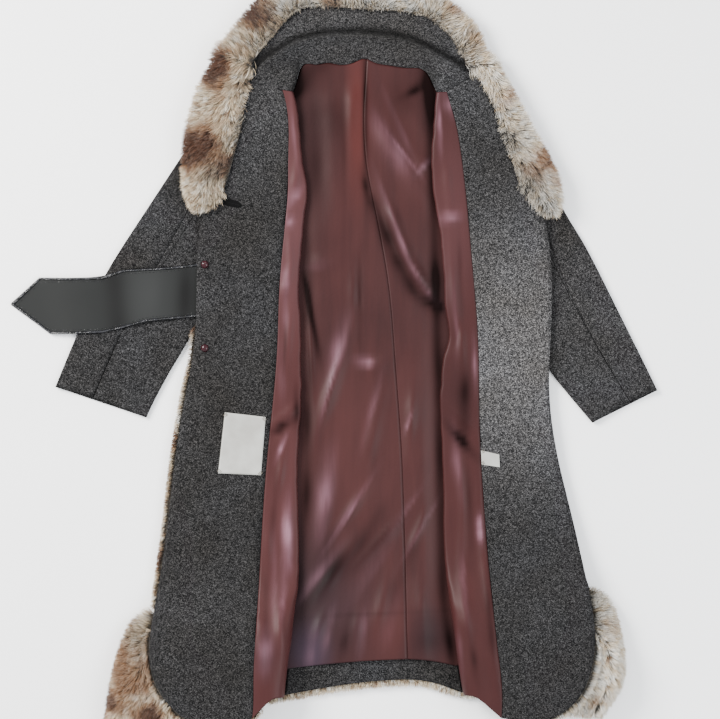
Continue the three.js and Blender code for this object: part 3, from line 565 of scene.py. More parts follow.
def hair_paint(name, cream, tan, brown, root):
    """Fur: dark roots, cream to tan hair and pale tips, in patches of the pelt's own colour."""
    paint = Paint(name)
    along = paint.attribute("along")
    tone = paint.attribute("tone")
    pale = mid(cream, (0.72, 0.72, 0.7), 0.45)
    white = (0.6, 0.585, 0.54)
    stops = [
        (0.0, mid(tan, root, 0.35)), (0.2, mid(cream, tan, 0.6)), (0.46, cream), (0.72, pale), (1.0, white),
    ]
    ground = paint.ramp(tone, stops)
    patched = paint.ramp(paint.attribute("brown") + 0.12 * tone, [(0.08, cream), (0.34, tan), (0.75, brown)])
    coloured = paint.blend(paint.spread(paint.attribute("brown"), 0.04, 0.34), ground, patched)
    greyed = paint.blend(paint.attribute("grey") * paint.spread(along, 1.35, 0.45), coloured, tint(root))
    rooted = paint.blend(paint.spread(along, 0.55, 0.05), greyed, tint(root))
    tip = paint.spread(along, 0.7, 1.0) * (0.4 - 0.36 * paint.attribute("brown"))
    tipped = paint.blend(tip, rooted, tint(pale))
    paint.feed("Base Color", tipped)
    paint.feed("Roughness", 0.6 - 0.15 * along)
    paint.fix(Specular_IOR_Level=0.3, Sheen_Weight=0.1)
    return paint.material


def pelt_paint(name, dark, pale):
    """The pelt beneath the hair."""
    paint = Paint(name)
    skin = paint.patches(260, detail=4, roughness=0.7)
    paint.feed("Base Color", paint.blend(skin, tint(dark), tint(pale)))
    paint.feed("Normal", paint.bump(skin, 0.8, 0.002))
    paint.fix(Roughness=0.95)
    return paint.material


def plain_paint(name, scale, dark, pale, **values):
    """Two close colours in a fine mottle, for threads."""
    paint = Paint(name)
    paint.feed("Base Color", paint.blend(paint.cloud(scale), dark, pale))
    paint.fix(**values)
    return paint.material


def only(piece):
    bpy.ops.object.select_all(action="DESELECT")
    piece.select_set(True)
    bpy.context.view_layer.objects.active = piece


def finish_modifier(piece, kind, **settings):
    only(piece)
    modifier = piece.modifiers.new(kind.title(), kind)
    for key, value in settings.items():
        setattr(modifier, key, value)
    bpy.ops.object.modifier_apply(modifier=modifier.name)


# Points closer than this are one, and triangles that meet in less than this turn make four-sided faces
MERGE = 0.00001
QUAD_TURN = math.radians(70)
# Edges of cloth and of small trims that keep their line, and edges that show as sharp, by turn in degrees
CLOTH_RIM, TRIM_RIM, SHARP = 62, 20, 55


def copy_of(node, name):
    """A merged copy of a solid, in four-sided faces."""
    piece = bpy.data.objects.new(name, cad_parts[node].data.copy())
    bpy.context.scene.collection.objects.link(piece)
    piece.data.materials.clear()
    only(piece)
    bpy.ops.object.mode_set(mode="EDIT")
    bpy.ops.mesh.select_all(action="SELECT")
    bpy.ops.mesh.remove_doubles(threshold=MERGE)
    bpy.ops.mesh.tris_convert_to_quads(face_threshold=QUAD_TURN, shape_threshold=QUAD_TURN)
    bpy.ops.object.mode_set(mode="OBJECT")
    return piece


def mark_rims(piece, angle):
    """Edges sharper than an angle keep their line when the cloth is smoothed."""
    only(piece)
    bpy.ops.object.mode_set(mode="EDIT")
    bpy.ops.mesh.select_all(action="DESELECT")
    bpy.ops.mesh.select_mode(type="EDGE")
    bpy.ops.mesh.edges_select_sharp(sharpness=math.radians(angle))
    bpy.ops.transform.edge_crease(value=1.0)
    bpy.ops.mesh.select_all(action="DESELECT")
    bpy.ops.object.mode_set(mode="OBJECT")


def refine(piece, levels):
    finish_modifier(piece, "SUBSURF", levels=levels, render_levels=levels)


def smoothed(node, ending, levels, rim=CLOTH_RIM):
    """A solid's copy with a finer, softer grid. Its rims keep their line."""
    piece = copy_of(node, node + ending)
    mark_rims(piece, rim)
    refine(piece, levels)
    return piece


def shape(piece, move):
    """Moves every vertex up by what a function of its place says, in millimetres."""
    for vertex in piece.data.vertices:
        x, y = plan(vertex.co)
        vertex.co.z += move(x, y, vertex.co.z / MM) * MM
    piece.data.update()


def note(mesh, name, values):
    """Keeps a value on every vertex, for the material."""
    mesh.attributes.new(name, "FLOAT", "POINT").data.foreach_set("value", values)


def shade(piece, table, name="shade", keen=1.0):
    """Notes how far every vertex lies in the dark of a fold, or in its gloss, for its material's painted
    shade or painted highlight.
    """
    values = [min(max(crease_height(table, *plan(vertex.co), keen), 0), 1) for vertex in piece.data.vertices]
    note(piece.data, name, values)


def open_up(height, least):
    """Keeps a height above nought with a soft turn."""
    raised = height + least
    return 0.5 * (raised + math.sqrt(raised * raised + 1))


def ready(piece, material, slot, *nodes):
    """The piece takes its finish and its place in the model."""
    piece.data.materials.clear()
    piece.data.materials.append(material)
    only(piece)
    bpy.ops.object.shade_smooth_by_angle(angle=math.radians(SHARP))
    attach(piece, BODY)
    if nodes:
        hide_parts(*nodes)
    return piece


def ripple(x, y, scale, height):
    return height * noise.noise(Vector((x / scale, y / scale, 3.7)))


def creased(table, x, y, scale, height):
    """A table's creases with a ripple over them."""
    return crease_height(table, x, y) + ripple(x, y, scale, height)


def above(x, y, z):
    """From 0 on a front's lower layer to 1 on the layer folded out over it."""
    centre = middle_height(x, y)
    return smooth(z, centre, centre + GAP_STEP)


def colour_setting(name, description, default):
    return bpy.props.FloatVectorProperty(
        name=name, description=description, subtype="COLOR", size=3, min=0, max=1, default=default)


def length_setting(name, description, default, least, most):
    return bpy.props.FloatProperty(
        name=name, description=description, default=default, min=least, max=most, unit="LENGTH",
        subtype="DISTANCE")


class CoatWoolSettings(bpy.types.PropertyGroup):
    dark: colour_setting("Ground", "Dark ground of the flecked wool", (0.0006, 0.0006, 0.0007))
    light: colour_setting("Fleck", "Pale flecks of the wool", (0.052, 0.0508, 0.0502))
    smoothing: bpy.props.IntProperty(
        name="Smoothing", description="Times the cloth's grid is halved", default=2, min=1, max=3)


class CoatSatinSettings(bpy.types.PropertyGroup):
    deep: colour_setting("Deep", "Satin colour in its hollows", (0.0135, 0.0038, 0.0034))
    pale: colour_setting("Pale", "Satin colour where it is worn", (0.041, 0.0118, 0.0105))
    gleam: colour_setting("Gleam", "Cool sheen of the satin", (0.078, 0.036, 0.046))


class CoatFurSettings(bpy.types.PropertyGroup):
    cream: colour_setting("Cream", "Palest hair", (0.5, 0.4, 0.262))
    tan: colour_setting("Tan", "Hair between the patches", (0.2, 0.1, 0.044))
    brown: colour_setting("Brown", "Hair in the middle of a patch", (0.056, 0.0185, 0.0065))
    root: colour_setting("Root", "Dark underfur", (0.017, 0.015, 0.014))
    length: length_setting("Length", "Length of the hair", 0.02, 0.004, 0.05)
    density: bpy.props.FloatProperty(
        name="Density", description="Hairs to each square millimetre", default=1.3, min=0.1, max=3.0)
    sink: length_setting("Sink", "How far the pelt is within the fur's outside", 0.007, 0, 0.02)


class CoatStageSettings(bpy.types.PropertyGroup):
    height: length_setting("Camera height", "How far the camera is above the coat", 4.5, 1, 10)
    view: length_setting("View", "Width of the floor that the camera sees", 1.08, 0.5, 3)


class COAT_OT_wool(bpy.types.Operator):
    """Makes the back, fronts, facings, sleeves and collar backing in flecked wool"""

    bl_idname = "coat.wool"
    bl_label = "Wool cloth"

    def execute(self, context):
        settings = context.scene.coat_wool
        dark, light = tuple(settings.dark), tuple(settings.light)
        # Painted pools of light: the wool is made lighter at the neck and on the left sleeve, and its lit
        # copy also in the middle of the left front
        top = zone(0, 450, 0.5, 0.28, 1.5)
        sleeve = zone(350, 60, 0.22, 0.3, 1.4)
        shell = wool_paint("charcoal_wool", dark, light, [top, sleeve])
        middle = zone(256, 18, 0.3, 0.31, 3.5)
        lit_wool = wool_paint("charcoal_wool_lit", dark, light, [top, middle])
        flaps = {"front_right": shell, "facing_right": shell, "front_left": lit_wool, "facing_left": lit_wool}
        for node, material in flaps.items():
            piece = smoothed(node, "_cloth", settings.smoothing)
            is_front = node.startswith("front")
            shape(piece, lambda x, y, z: self.flap(x, y, z, is_front))
            if is_front:
                wave_fold(piece, node.removeprefix("front_"))
            ready(piece, material, "wool", node)
        for node in ("topsleeve_right", "undersleeve_right", "topsleeve_left", "undersleeve_left"):
            piece = smoothed(node, "_cloth", settings.smoothing)
            shape(piece, self.sleeve)
            ready(piece, shell, "wool", node)
        for node in ("back", "back_hem", "back_neck_facing", "collar_backing"):
            piece = smoothed(node, "_cloth", settings.smoothing)
            if node in ("back_neck_facing", "collar_backing"):
                shape(piece, lambda x, y, z: ripple(x, y, 40, 0.5) + neck_roll(x, y))
                self.roll_shade(piece)
                wave_edge(piece)
            if node == "back_neck_facing":
                self.close_seams(piece)
            ready(piece, shell, "wool", node)
        return {"FINISHED"}

    @staticmethod
    def close_seams(piece):
        """Spreads the neck facing a little, as its seams are sewn shut."""
        for vertex in piece.data.vertices:
            x, y = plan(vertex.co)
            vertex.co.x += 0.004 * x * MM
            vertex.co.y += 0.012 * (y - 440) * MM

    @staticmethod
    def roll_shade(piece):
        """The collar is dark where the roll stands over it, and the facing where it turns down."""
        values = []
        for vertex in piece.data.vertices:
            x, y = plan(vertex.co)
            below = below_line(NECK_LINE, x, y)
            over, under = 0.95 * bell(below + 8, 7), 0.15 * smooth(below, 12, 26)
            values.append(min(over + 0.4 * crease_height(HOLLOWS, x, y) + under, 1))
        note(piece.data, "shade", values)

    @staticmethod
    def flap(x, y, z, is_front):
        lift = above(x, y, z) if is_front else 1.0
        return lift * creased(WOOL_CREASES, x, y, 55, 0.7)

    @staticmethod
    def sleeve(x, y, z):
        lift = smooth(z, 3.4, 5.2)
        return lift * creased(SLEEVE_CREASES, x, y, 45, 0.5)


# Painted light on the satin, beside its own tones: black darkens its painted shade, lilac and plum are
# painted reflections of the sky, and the rust red, shine and gloss colours are painted highlights
BLACK = (0, 0, 0)
LILAC_REFLECTION = (0.0125, 0.0057, 0.0066)
PLUM_REFLECTION = (0.026, 0.018, 0.029)
RED_HIGHLIGHT = (0.046, 0.0098, 0.0078)
SHINE = (0.088, 0.046, 0.053)
GLOSS_HIGHLIGHT = (0.26, 0.135, 0.175)


class COAT_OT_lining(bpy.types.Operator):
    """Makes the satin linings of the back and the fronts, with their soft folds"""

    bl_idname = "coat.lining"
    bl_label = "Satin lining"

    def execute(self, context):
        settings = context.scene.coat_satin
        deep, pale, gleam = tuple(settings.deep), tuple(settings.pale), tuple(settings.gleam)
        zones = self.zones(deep, pale)
        back = satin_paint("rose_satin_back", deep, mid(deep, pale, 0.75), gleam, 0.16, zones["back"])
        # The right front's strip is painted lighter, with some shine, and the left front's darker: lit and
        # shaded copies of one satin
        strip_light_and_shade = {
            "right": (mid(deep, pale, 0.55), mid(pale, SHINE, 0.12)),
            "left": (mid(deep, pale, 0.1), mid(deep, pale, 0.6)),
        }
        strips = {
            side: satin_paint("rose_satin_front_" + side, *strip_light_and_shade[side], gleam, 0.12, zones[side])
            for side in strip_light_and_shade
        }
        for side, strip in strips.items():
            piece = smoothed("back_lining_" + side, "_satin", 3)
            shape(piece, self.open_lining)
            shade(piece, HOLLOWS)
            shade(piece, BACK_GLOSS, "gloss", 0.5)
            wave_edge(piece)
            ready(piece, back, "satin_lining", "back_lining_" + side)
            piece = smoothed("front_lining_" + side, "_satin", 3)
            shape(piece, self.strip)
            shade(piece, STRIP_HOLLOWS)
            shade(piece, STRIP_GLOSS, "gloss", 0.6)
            wave_fold(piece, side)
            ready(piece, strip, "satin_lining", "front_lining_" + side)
        return {"FINISHED"}

    @staticmethod
    def zones(deep, pale):
        """Where each satin is given painted light and shade: place, half sizes, colour and strength."""
        # Dusk is painted shade, darker than the satin's deep tone
        dusk = mid(deep, BLACK, 0.3)
        return {
            "back": [
                zone(-72, 330, 0.06, 0.2, dusk, 0.6),
                zone(-4, 360, 0.026, 0.19, RED_HIGHLIGHT, 0.95),
                zone(-64, -370, 0.13, 0.17, LILAC_REFLECTION, 0.9),
                zone(-78, -440, 0.05, 0.07, PLUM_REFLECTION, 0.8),
                zone(44, -410, 0.05, 0.07, mid(pale, RED_HIGHLIGHT, 0.35), 0.4),
                zone(104, -412, 0.05, 0.07, LILAC_REFLECTION, 0.7),
            ],
            "right": [
                zone(-126, -330, 0.05, 0.12, mid(deep, pale, 0.6), 0.6),
                zone(-138, -436, 0.03, 0.06, LILAC_REFLECTION, 0.5),
                zone(-110, 200, 0.05, 0.22, mid(SHINE, pale, 0.6), 0.5),
            ],
            "left": [
                zone(140, 210, 0.05, 0.22, mid(SHINE, pale, 0.75), 0.5),
                zone(150, -60, 0.05, 0.1, dusk, 0.5),
            ],
        }

    @staticmethod
    def open_lining(x, y, z):
        room = smooth(min(x + 90, 120 - x), 0, 30) * smooth(425 - y, 0, 40)
        return room * open_up(creased(BACK_LINING_CREASES, x, y, 30, 0.5), 2.0)

    @staticmethod
    def strip(x, y, z):
        own = open_up(creased(STRIP_CREASES, x, y, 24, 0.4), 1.0)
        return above(x, y, z) * (creased(WOOL_CREASES, x, y, 55, 0.7) + own)


# Each fur piece: its solid, the way its hair lies at its upper and lower end as turns from the X axis in
# degrees, or none where it lies away from the neck, how far it leans, and its length beside the rest
FUR_PIECES = [
    ("collar_fur_back", None, 0.8, 1.0),
    ("collar_fur_right", (192, 250), 0.82, 1.0),
    ("collar_fur_left", (-12, -80), 0.82, 1.0),
    ("fur_hem_back", (270, 270), 0.8, 0.6),
    ("fur_hem_side_right", (200, 250), 0.8, 1.0),
    ("fur_hem_side_left", (-20, -70), 0.8, 0.9),
    ("fur_flap_right", (250, 250), 0.8, 0.6),
    ("fur_flap_left", (-60, -60), 0.8, 0.6),
    ("fur_edge_right", (200, 215), 0.8, 0.5),
]
COLLAR_MIDDLE = (-8, 400)

# Patches of the pelt's own colours: X, Y and radius in millimetres, and strength
BROWN_PATCHES = [
    (-156, 517, 20, 1.0),
    (-216, 432, 20, 0.9),
    (-207, 442, 15, 1.0),
    (-240, 318, 24, 1.0),
    (-202, 299, 16, 0.6),
    (-226, 348, 14, 0.4),
    (-40, 534, 16, 0.3),
    (135, 520, 14, 0.3),
    (168, 472, 19, 0.24),
    (218, 396, 14, 0.3),
    (272, 300, 20, 0.55),
    (288, 262, 10, 0.3),
    (-385, -500, 22, 0.9),
    (-376, -440, 16, 0.5),
    (-307, -524, 16, 0.8),
    (-345, -462, 46, 0.42),
    (-392, -455, 18, 0.55),
    (372, -400, 14, 0.25),
    (352, -505, 12, 0.4),
    (-300, -300, 14, 0.6),
    (-316, -230, 12, 0.5),
    (-284, -120, 14, 0.6),
    (-272, -20, 10, 0.5),
    (-250, 60, 12, 0.7),
]
GREY_PATCHES = [
    (-128, 515, 12, 0.8),
    (-126, 488, 12, 0.8),
    (-134, 468, 12, 0.6),
    (-100, 530, 12, 0.6),
    (-60, 522, 10, 0.5),
    (20, 518, 10, 0.5),
    (60, 516, 10, 0.5),
    (112, 506, 12, 0.7),
    (132, 486, 10, 0.5),
    (-168, 404, 12, 0.6),
    (-177, 351, 13, 0.7),
    (-192, 326, 12, 0.6),
    (-214, 282, 16, 0.9),
    (-222, 246, 12, 0.6),
    (214, 366, 10, 0.5),
    (222, 329, 18, 1.1),
    (236, 292, 14, 0.8),
    (250, 256, 20, 1.2),
    (268, 236, 16, 0.9),
    (-327, -416, 14, 0.8),
    (-318, -446, 12, 0.5),
    (352, -380, 12, 0.4),
    (-290, -180, 12, 0.6),
]


# Hairs in a tuft, the corners of a blade, how much of its width is left at its last ring, and the least
# height of any part of it over the floor
TUFT = 38
CORNERS = 7
TAPER = 0.7
CLEAR = 0.0003
MOST_HAIRS, HALF_WIDTH = 39500, 0.00026


def vertex_rows(mesh, key):
    """A vector of each vertex, as rows."""
    values = np.zeros(len(mesh.vertices) * 3)
    mesh.vertices.foreach_get(key, values)
    return values.reshape(-1, 3)


def plan_rows(roots):
    """The plan places of some points, in millimetres."""
    return roots[:, 0] / MM - ORIGIN[0], roots[:, 1] / MM - ORIGIN[1]


def mottle(roots, scale, seed):
    """Smooth noise at each root. The scale counts features in each metre."""
    return np.array([noise.noise(Vector((x * scale, y * scale, seed))) for x, y, _ in roots])


def pelt_points(piece, density, most, over, rng):
    """Random roots on the open part of a pelt, with their normals."""
    mesh = piece.data
    mesh.calc_loop_triangles()
    corners = np.zeros(len(mesh.loop_triangles) * 3, np.int32)
    mesh.loop_triangles.foreach_get("vertices", corners)
    corners = corners.reshape(-1, 3)
    co, normals = vertex_rows(mesh, "co"), vertex_rows(mesh, "normal")
    a, b, c = (co[corners[:, k]] for k in range(3))
    face = np.cross(b - a, c - a)
    size = np.linalg.norm(face, axis=1)
    upward = face[:, 2] / np.maximum(size, 1e-12)
    centres = (a + b + c) / 3
    lift = Vector((0, 0, 0.001))
    sky = Vector((0, 0, 1))
    free = np.array([over.ray_cast(Vector(p) + lift, sky)[0] is None for p in centres])
    weight = size * np.clip((upward + 0.35) / 0.5, 0, 1) * free
    count = min(int(weight.sum() / 2 * density * 1e6), most)
    chosen = rng.choice(len(weight), count, p=weight / weight.sum())
    u, v = rng.random(count), rng.random(count)
    flip = u + v > 1
    u[flip], v[flip] = 1 - u[flip], 1 - v[flip]
    parts = np.stack([1 - u - v, u, v], axis=1)
    roots = sum(parts[:, k, None] * co[corners[chosen, k]] for k in range(3))
    ups = sum(parts[:, k, None] * normals[corners[chosen, k]] for k in range(3))
    ups /= np.linalg.norm(ups, axis=1, keepdims=True)
    return roots, ups


def unit(vectors):
    return vectors / np.maximum(np.linalg.norm(vectors, axis=1, keepdims=True), 1e-9)


def colour_field(roots, table, wander):
    """How strongly a table's patches colour each root, with a ragged outline."""
    x, y = plan_rows(roots)
    broad, small = mottle(roots, 45, wander), mottle(roots, 160, wander)
    values = np.zeros(len(roots))
    for px, py, radius, strength in table:
        away = np.hypot(x - px, y - py) / (1.4 * radius) + 0.6 * broad + 0.3 * small
        values = np.maximum(values, strength * np.exp(-np.clip(away, 0, None) ** 2))
    return values


def hair_flow(roots, turn):
    """The way the hair lies at each root, seen from above."""
    if turn is None:
        flow = roots - np.array(place(*COLLAR_MIDDLE))
        flow[:, 2] = 0
        flow = unit(flow)
    else:
        top, bottom = roots[:, 1].max(), roots[:, 1].min()
        angle = np.radians(turn[1] + (turn[0] - turn[1]) * (roots[:, 1] - bottom) / (top - bottom))
        flow = np.stack([np.cos(angle), np.sin(angle), np.zeros(len(roots))], axis=1)
    swirl = mottle(roots, 20, 1.1) * 1.1
    cos, sin = np.cos(swirl), np.sin(swirl)
    turned = [flow[:, 0] * cos - flow[:, 1] * sin, flow[:, 0] * sin + flow[:, 1] * cos, flow[:, 2]]
    return np.stack(turned, axis=1)


def blade_mesh(name, rings, side, half_width):
    """Flat blades through four rings of points, each of two four-sided faces and a tip."""
    count = len(side)
    points = np.empty((count, CORNERS, 3))
    for k, width in enumerate((half_width, half_width, half_width * TAPER)):
        points[:, 2 * k] = rings[k] - side * width
        points[:, 2 * k + 1] = rings[k] + side * width
    points[:, 6] = rings[3]
    points[:, :, 2] = np.maximum(points[:, :, 2], CLEAR)
    base = np.arange(count)[:, None] * CORNERS
    quads = np.concatenate([base + [0, 1, 3, 2], base + [2, 3, 5, 4]])
    ends = base + [4, 5, 6]
    mesh = bpy.data.meshes.new(name)
    mesh.vertices.add(count * CORNERS)
    mesh.vertices.foreach_set("co", points.reshape(-1))
    loops = np.concatenate([quads.reshape(-1), ends.reshape(-1)])
    mesh.loops.add(len(loops))
    mesh.loops.foreach_set("vertex_index", loops)
    mesh.polygons.add(3 * count)
    starts = np.concatenate([np.arange(2 * count) * 4, 8 * count + np.arange(count) * 3])
    mesh.polygons.foreach_set("loop_start", starts)
    mesh.update(calc_edges=True)

    columns = math.ceil(math.sqrt(count))
    cell = np.stack([np.arange(count) % columns, np.arange(count) // columns], axis=1) / columns
    rows = [(across, up) for up in (0.1, 0.4, 0.7) for across in (0.15, 0.85)]
    corner = np.array(rows + [(0.5, 0.9)])
    uv = cell[loops // CORNERS] + corner[loops % CORNERS] / columns
    mesh.uv_layers.new(name="OFBake").data.foreach_set("uv", uv.reshape(-1))
    return mesh


def grow(piece, name, settings, turn, lean, longer, over, wool, beside, seed):
    """Hair on a pelt: tapered blades in tufts that bend over the way the hair lies."""
    rng = np.random.default_rng(seed)
    density, most, half_width = ((settings.density, MOST_HAIRS, HALF_WIDTH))
    roots, ups = pelt_points(piece, density, most, over, rng)
    count = len(roots)
    outward = ups * (1, 1, 0)
    flow = unit(hair_flow(roots, turn) + 1.1 * outward)
    edge = [wool.find_nearest(Vector(root)) for root in roots]
    by_wool = np.array([hit[3] for hit in edge]) / MM
    is_collar = name.startswith("collar")
    if is_collar:
        towards = unit(np.array([hit[0] for hit in edge]) - roots) * (1, 1, 0.2)
        over_edge = np.clip(1.3 - by_wool[:, None] / 9, 0, 1) * (rng.random((count, 1)) < 0.7)
        flow = unit(flow * (1 - over_edge) + 1.3 * towards * over_edge)
    start = unit(ups + flow * lean * 0.7 + rng.normal(0, 0.14, (count, 3)))
    end = unit(ups * (1 - lean) + flow * lean * 1.4 + rng.normal(0, 0.16, (count, 3)))

    # Hair is shorter at a pelt's rim, but not where the next pelt joins it
    joined = np.array([beside.find_nearest(Vector(root))[3] for root in roots])[:, None] / MM
    rim = np.linalg.norm(outward, axis=1)[:, None] * np.clip((joined - 6) / 12, 0, 1)
    reach = settings.length * longer * rng.uniform(0.6, 1.1, count)[:, None] * (1 - 0.45 * rim ** 2)
    if is_collar:
        reach *= 1 - 0.65 * over_edge * rng.random((count, 1))

    # Tips are drawn towards the tip of the tuft's first hair
    tufts = max(count // TUFT, 4)
    tree = kdtree.KDTree(tufts)
    for k in range(tufts):
        tree.insert(Vector(roots[k]), k)
    tree.balance()
    near = np.array([tree.find(Vector(root))[1] for root in roots])
    tips = roots + reach * (0.5 * start + 0.5 * end)
    pull = (tips[near] - tips) * rng.uniform(0.1, 0.5, count)[:, None]

    side = unit(np.cross(end, rng.normal(0, 1, (count, 3))))
    rings = [
        roots + reach * (start * (t - 0.5 * t * t) + end * 0.5 * t * t) + pull * t * t
        for t in (0.0, 0.4, 0.75, 1.0)
    ]
    mesh = blade_mesh(name, rings, side, half_width)

    # Hair is paler towards the left side and the collar's top
    x, y = plan_rows(roots)
    pale = np.clip(np.maximum(x / 260, (y - 480) / 60), 0, 1)
    tuft_tone = rng.normal(0.42, 0.2, tufts)[near]
    tone = np.clip(rng.normal(0, 0.15, count) + tuft_tone + 0.32 * pale, 0, 1)
    # Hair near the wool is greyed towards its root colour: partly dark underfur, partly painted shade where
    # the fur meets the cloth
    border = np.clip(1.0 - by_wool / 11 + 0.9 * mottle(roots, 120, 9.1), 0, 1) * 0.6
    greyed = np.maximum(colour_field(roots, GREY_PATCHES, 7.9), border)
    note(mesh, "along", np.tile((0.0, 0.0, 0.4, 0.4, 0.75, 0.75, 1.0), count))
    note(mesh, "tone", np.repeat(tone, CORNERS))
    note(mesh, "brown", np.repeat(colour_field(roots, BROWN_PATCHES, 2.3), CORNERS))
    note(mesh, "grey", np.repeat(greyed, CORNERS))
    hair = bpy.data.objects.new(name, mesh)
    bpy.context.scene.collection.objects.link(hair)
    return hair


class COAT_OT_fur(bpy.types.Operator):
    """Makes each pelt of the collar and hem, and grows its hair"""

    bl_idname = "coat.fur"
    bl_label = "Fur"

    def execute(self, context):
        settings = context.scene.coat_fur
        colours = [tuple(c) for c in (settings.cream, settings.tan, settings.brown, settings.root)]
        hair_material = hair_paint("fur_hair", *colours)
        cream, root = colours[0], colours[3]
        # The pelt is nearly black: partly the dark grey seen between the roots, partly painted shade beneath
        # the hair
        pelt_material = pelt_paint("fur_pelt", mid(root, BLACK, 0.4), mid(root, cream, 0.12))
        sides = [name + "_" + side + "_cloth" for name in ("front", "facing") for side in ("right", "left")]
        over = surface(sides)
        wool = surface(sides + ["collar_backing_cloth", "back_neck_facing_cloth"])
        for seed, (node, turn, lean, longer) in enumerate(FUR_PIECES, 11):
            piece = copy_of(node, node + "_pelt")
            refine(piece, 2)
            others = [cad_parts[other[0]].name for other in FUR_PIECES if other[0] != node]
            beside = surface(others)
            self.sink(piece, settings.sink * longer, beside, wool)
            ready(piece, pelt_material, "fur", node)
            hair = grow(piece, node + "_hair", settings, turn, lean, longer, over, wool, beside, seed)
            hair.data.materials.append(hair_material)
            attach(hair, BODY)
        return {"FINISHED"}

    @staticmethod
    def sink(piece, depth, beside, wool):
        """Draws a pelt in, so that its hair ends at the solid's outside. Its underside follows its rim."""
        moved, left = [], []
        for vertex in piece.data.vertices:
            up = vertex.normal.z > -0.3 and vertex.co.z > 0.004
            (moved if up else left).append(vertex)
        tree = kdtree.KDTree(len(moved))
        steps = []
        for vertex in moved:
            tree.insert(vertex.co, len(steps))
            full = depth * smooth(beside.find_nearest(vertex.co)[3], 0.001, 0.014)
            full *= 0.25 + 0.75 * smooth(wool.find_nearest(vertex.co)[3], 0.001, 0.01)
            steps.append(-vertex.normal * min(full, vertex.co.z - 0.001))
        tree.balance()
        for vertex in left:
            _, index, gap = tree.find(vertex.co)
            step = steps[index] * smooth(gap, 2 * depth, 0)
            vertex.co += Vector((step.x, step.y, 0))
        for vertex, step in zip(moved, steps):
            vertex.co += step
            x, y = plan(vertex.co)
            vertex.co.z += ripple(x, y, 14, 1.0) * MM
        piece.data.update()


# Lines of the trims in plan
BELT_EDGE = [
    (-196, 143.5), (-244, 141.5), (-285, 136.5), (-320, 134.5), (-355, 132.5), (-386, 121.5), (-440, 120.5),
    (-480, 121), (-520.5, 83), (-463.5, 39.6), (-434, 39.6), (-386, 41.6), (-355, 48.6), (-320, 58.6),
    (-285, 61.6), (-244, 65.6), (-196, 67.6),
]
BELT_STITCHES = [
    (-196, 139), (-244, 137), (-285, 132), (-320, 130), (-355, 128), (-386, 117), (-440, 116), (-478, 116),
    (-513, 83), (-462, 44), (-434, 44), (-386, 46), (-355, 53), (-320, 63), (-285, 66), (-244, 70),
    (-196, 72),
]
BELT_CREASES = [
    (-385, 82, 60, 16, -0.8, 6),
    (-300, 98, 60, 14, 0.5, -4),
]
# Middle and turn of each tack
LABEL_TACKS = [
    (-201, -83, 40), (-143, -89, -40), (-149, -170, 40), (-210, -167, -40), (183, -138, 30), (183, -155, 30),
]
SLEEVE_SEAMS = {
    "right": [
        (-222.3, 260.8), (-250.4, 214), (-294.5, 143.5), (-317.2, 107.7), (-340.6, 70.3), (-361.3, 31),
        (-385.1, -22.9), (-400, -58),
    ],
    "left": [
        (249.9, 240), (279.6, 166.5), (296.6, 131.1), (314.1, 93.9), (337.1, 51), (357.8, 14.5), (383, -28.1),
        (405, -64),
    ],
}
BUTTONHOLE = [(-212, 239), (-178, 230)]


def along_path(corners, step):
    """Plan points at even steps along a line through its corners."""
    points = []
    for (x0, y0), (x1, y1) in zip(corners, corners[1:]):
        count = max(int(math.hypot(x1 - x0, y1 - y0) / step), 1)
        points += [(x0 + (x1 - x0) * k / count, y0 + (y1 - y0) * k / count) for k in range(count)]
    return points + [corners[-1]]


def surface(names):
    """A tree of some pieces, to lay trims on."""
    points, faces = [], []
    for name in names:
        mesh = bpy.data.objects[name].data
        first = len(points)
        points.extend(vertex.co.copy() for vertex in mesh.vertices)
        faces.extend([first + k for k in face.vertices] for face in mesh.polygons)
    return BVHTree.FromPolygons(points, faces)


def on(tree, x, y, lift):
    """A point above a plan place, by a lift in millimetres over what is there or nearest."""
    hit = tree.ray_cast(place(x, y, 200), Vector((0, 0, -1)))[0]
    if hit is None:
        hit = tree.find_nearest(place(x, y, 10))[0]
    return hit + Vector((0, 0, lift * MM))


def dashes(tree, line, lift):
    """Short stitches along a row of plan points."""
    return [[on(tree, *line[k + n], lift) for n in (0, 1, 2)] for k in range(0, len(line) - 3, 4)]


def thread(name, runs, radius, material, slot):
    """Round threads through runs of points, as one piece."""
    curve = bpy.data.curves.new(name, "CURVE")
    curve.dimensions = "3D"
    curve.bevel_depth = radius * MM
    curve.bevel_resolution = 1
    curve.use_fill_caps = True
    for run in runs:
        spline = curve.splines.new("POLY")
        spline.points.add(len(run) - 1)
        for point, co in zip(spline.points, run):
            point.co = (*co, 1)
    piece = bpy.data.objects.new(name, curve)
    bpy.context.scene.collection.objects.link(piece)
    only(piece)
    bpy.ops.object.convert(target="MESH")
    piece = bpy.context.object
    return ready(piece, material, slot)


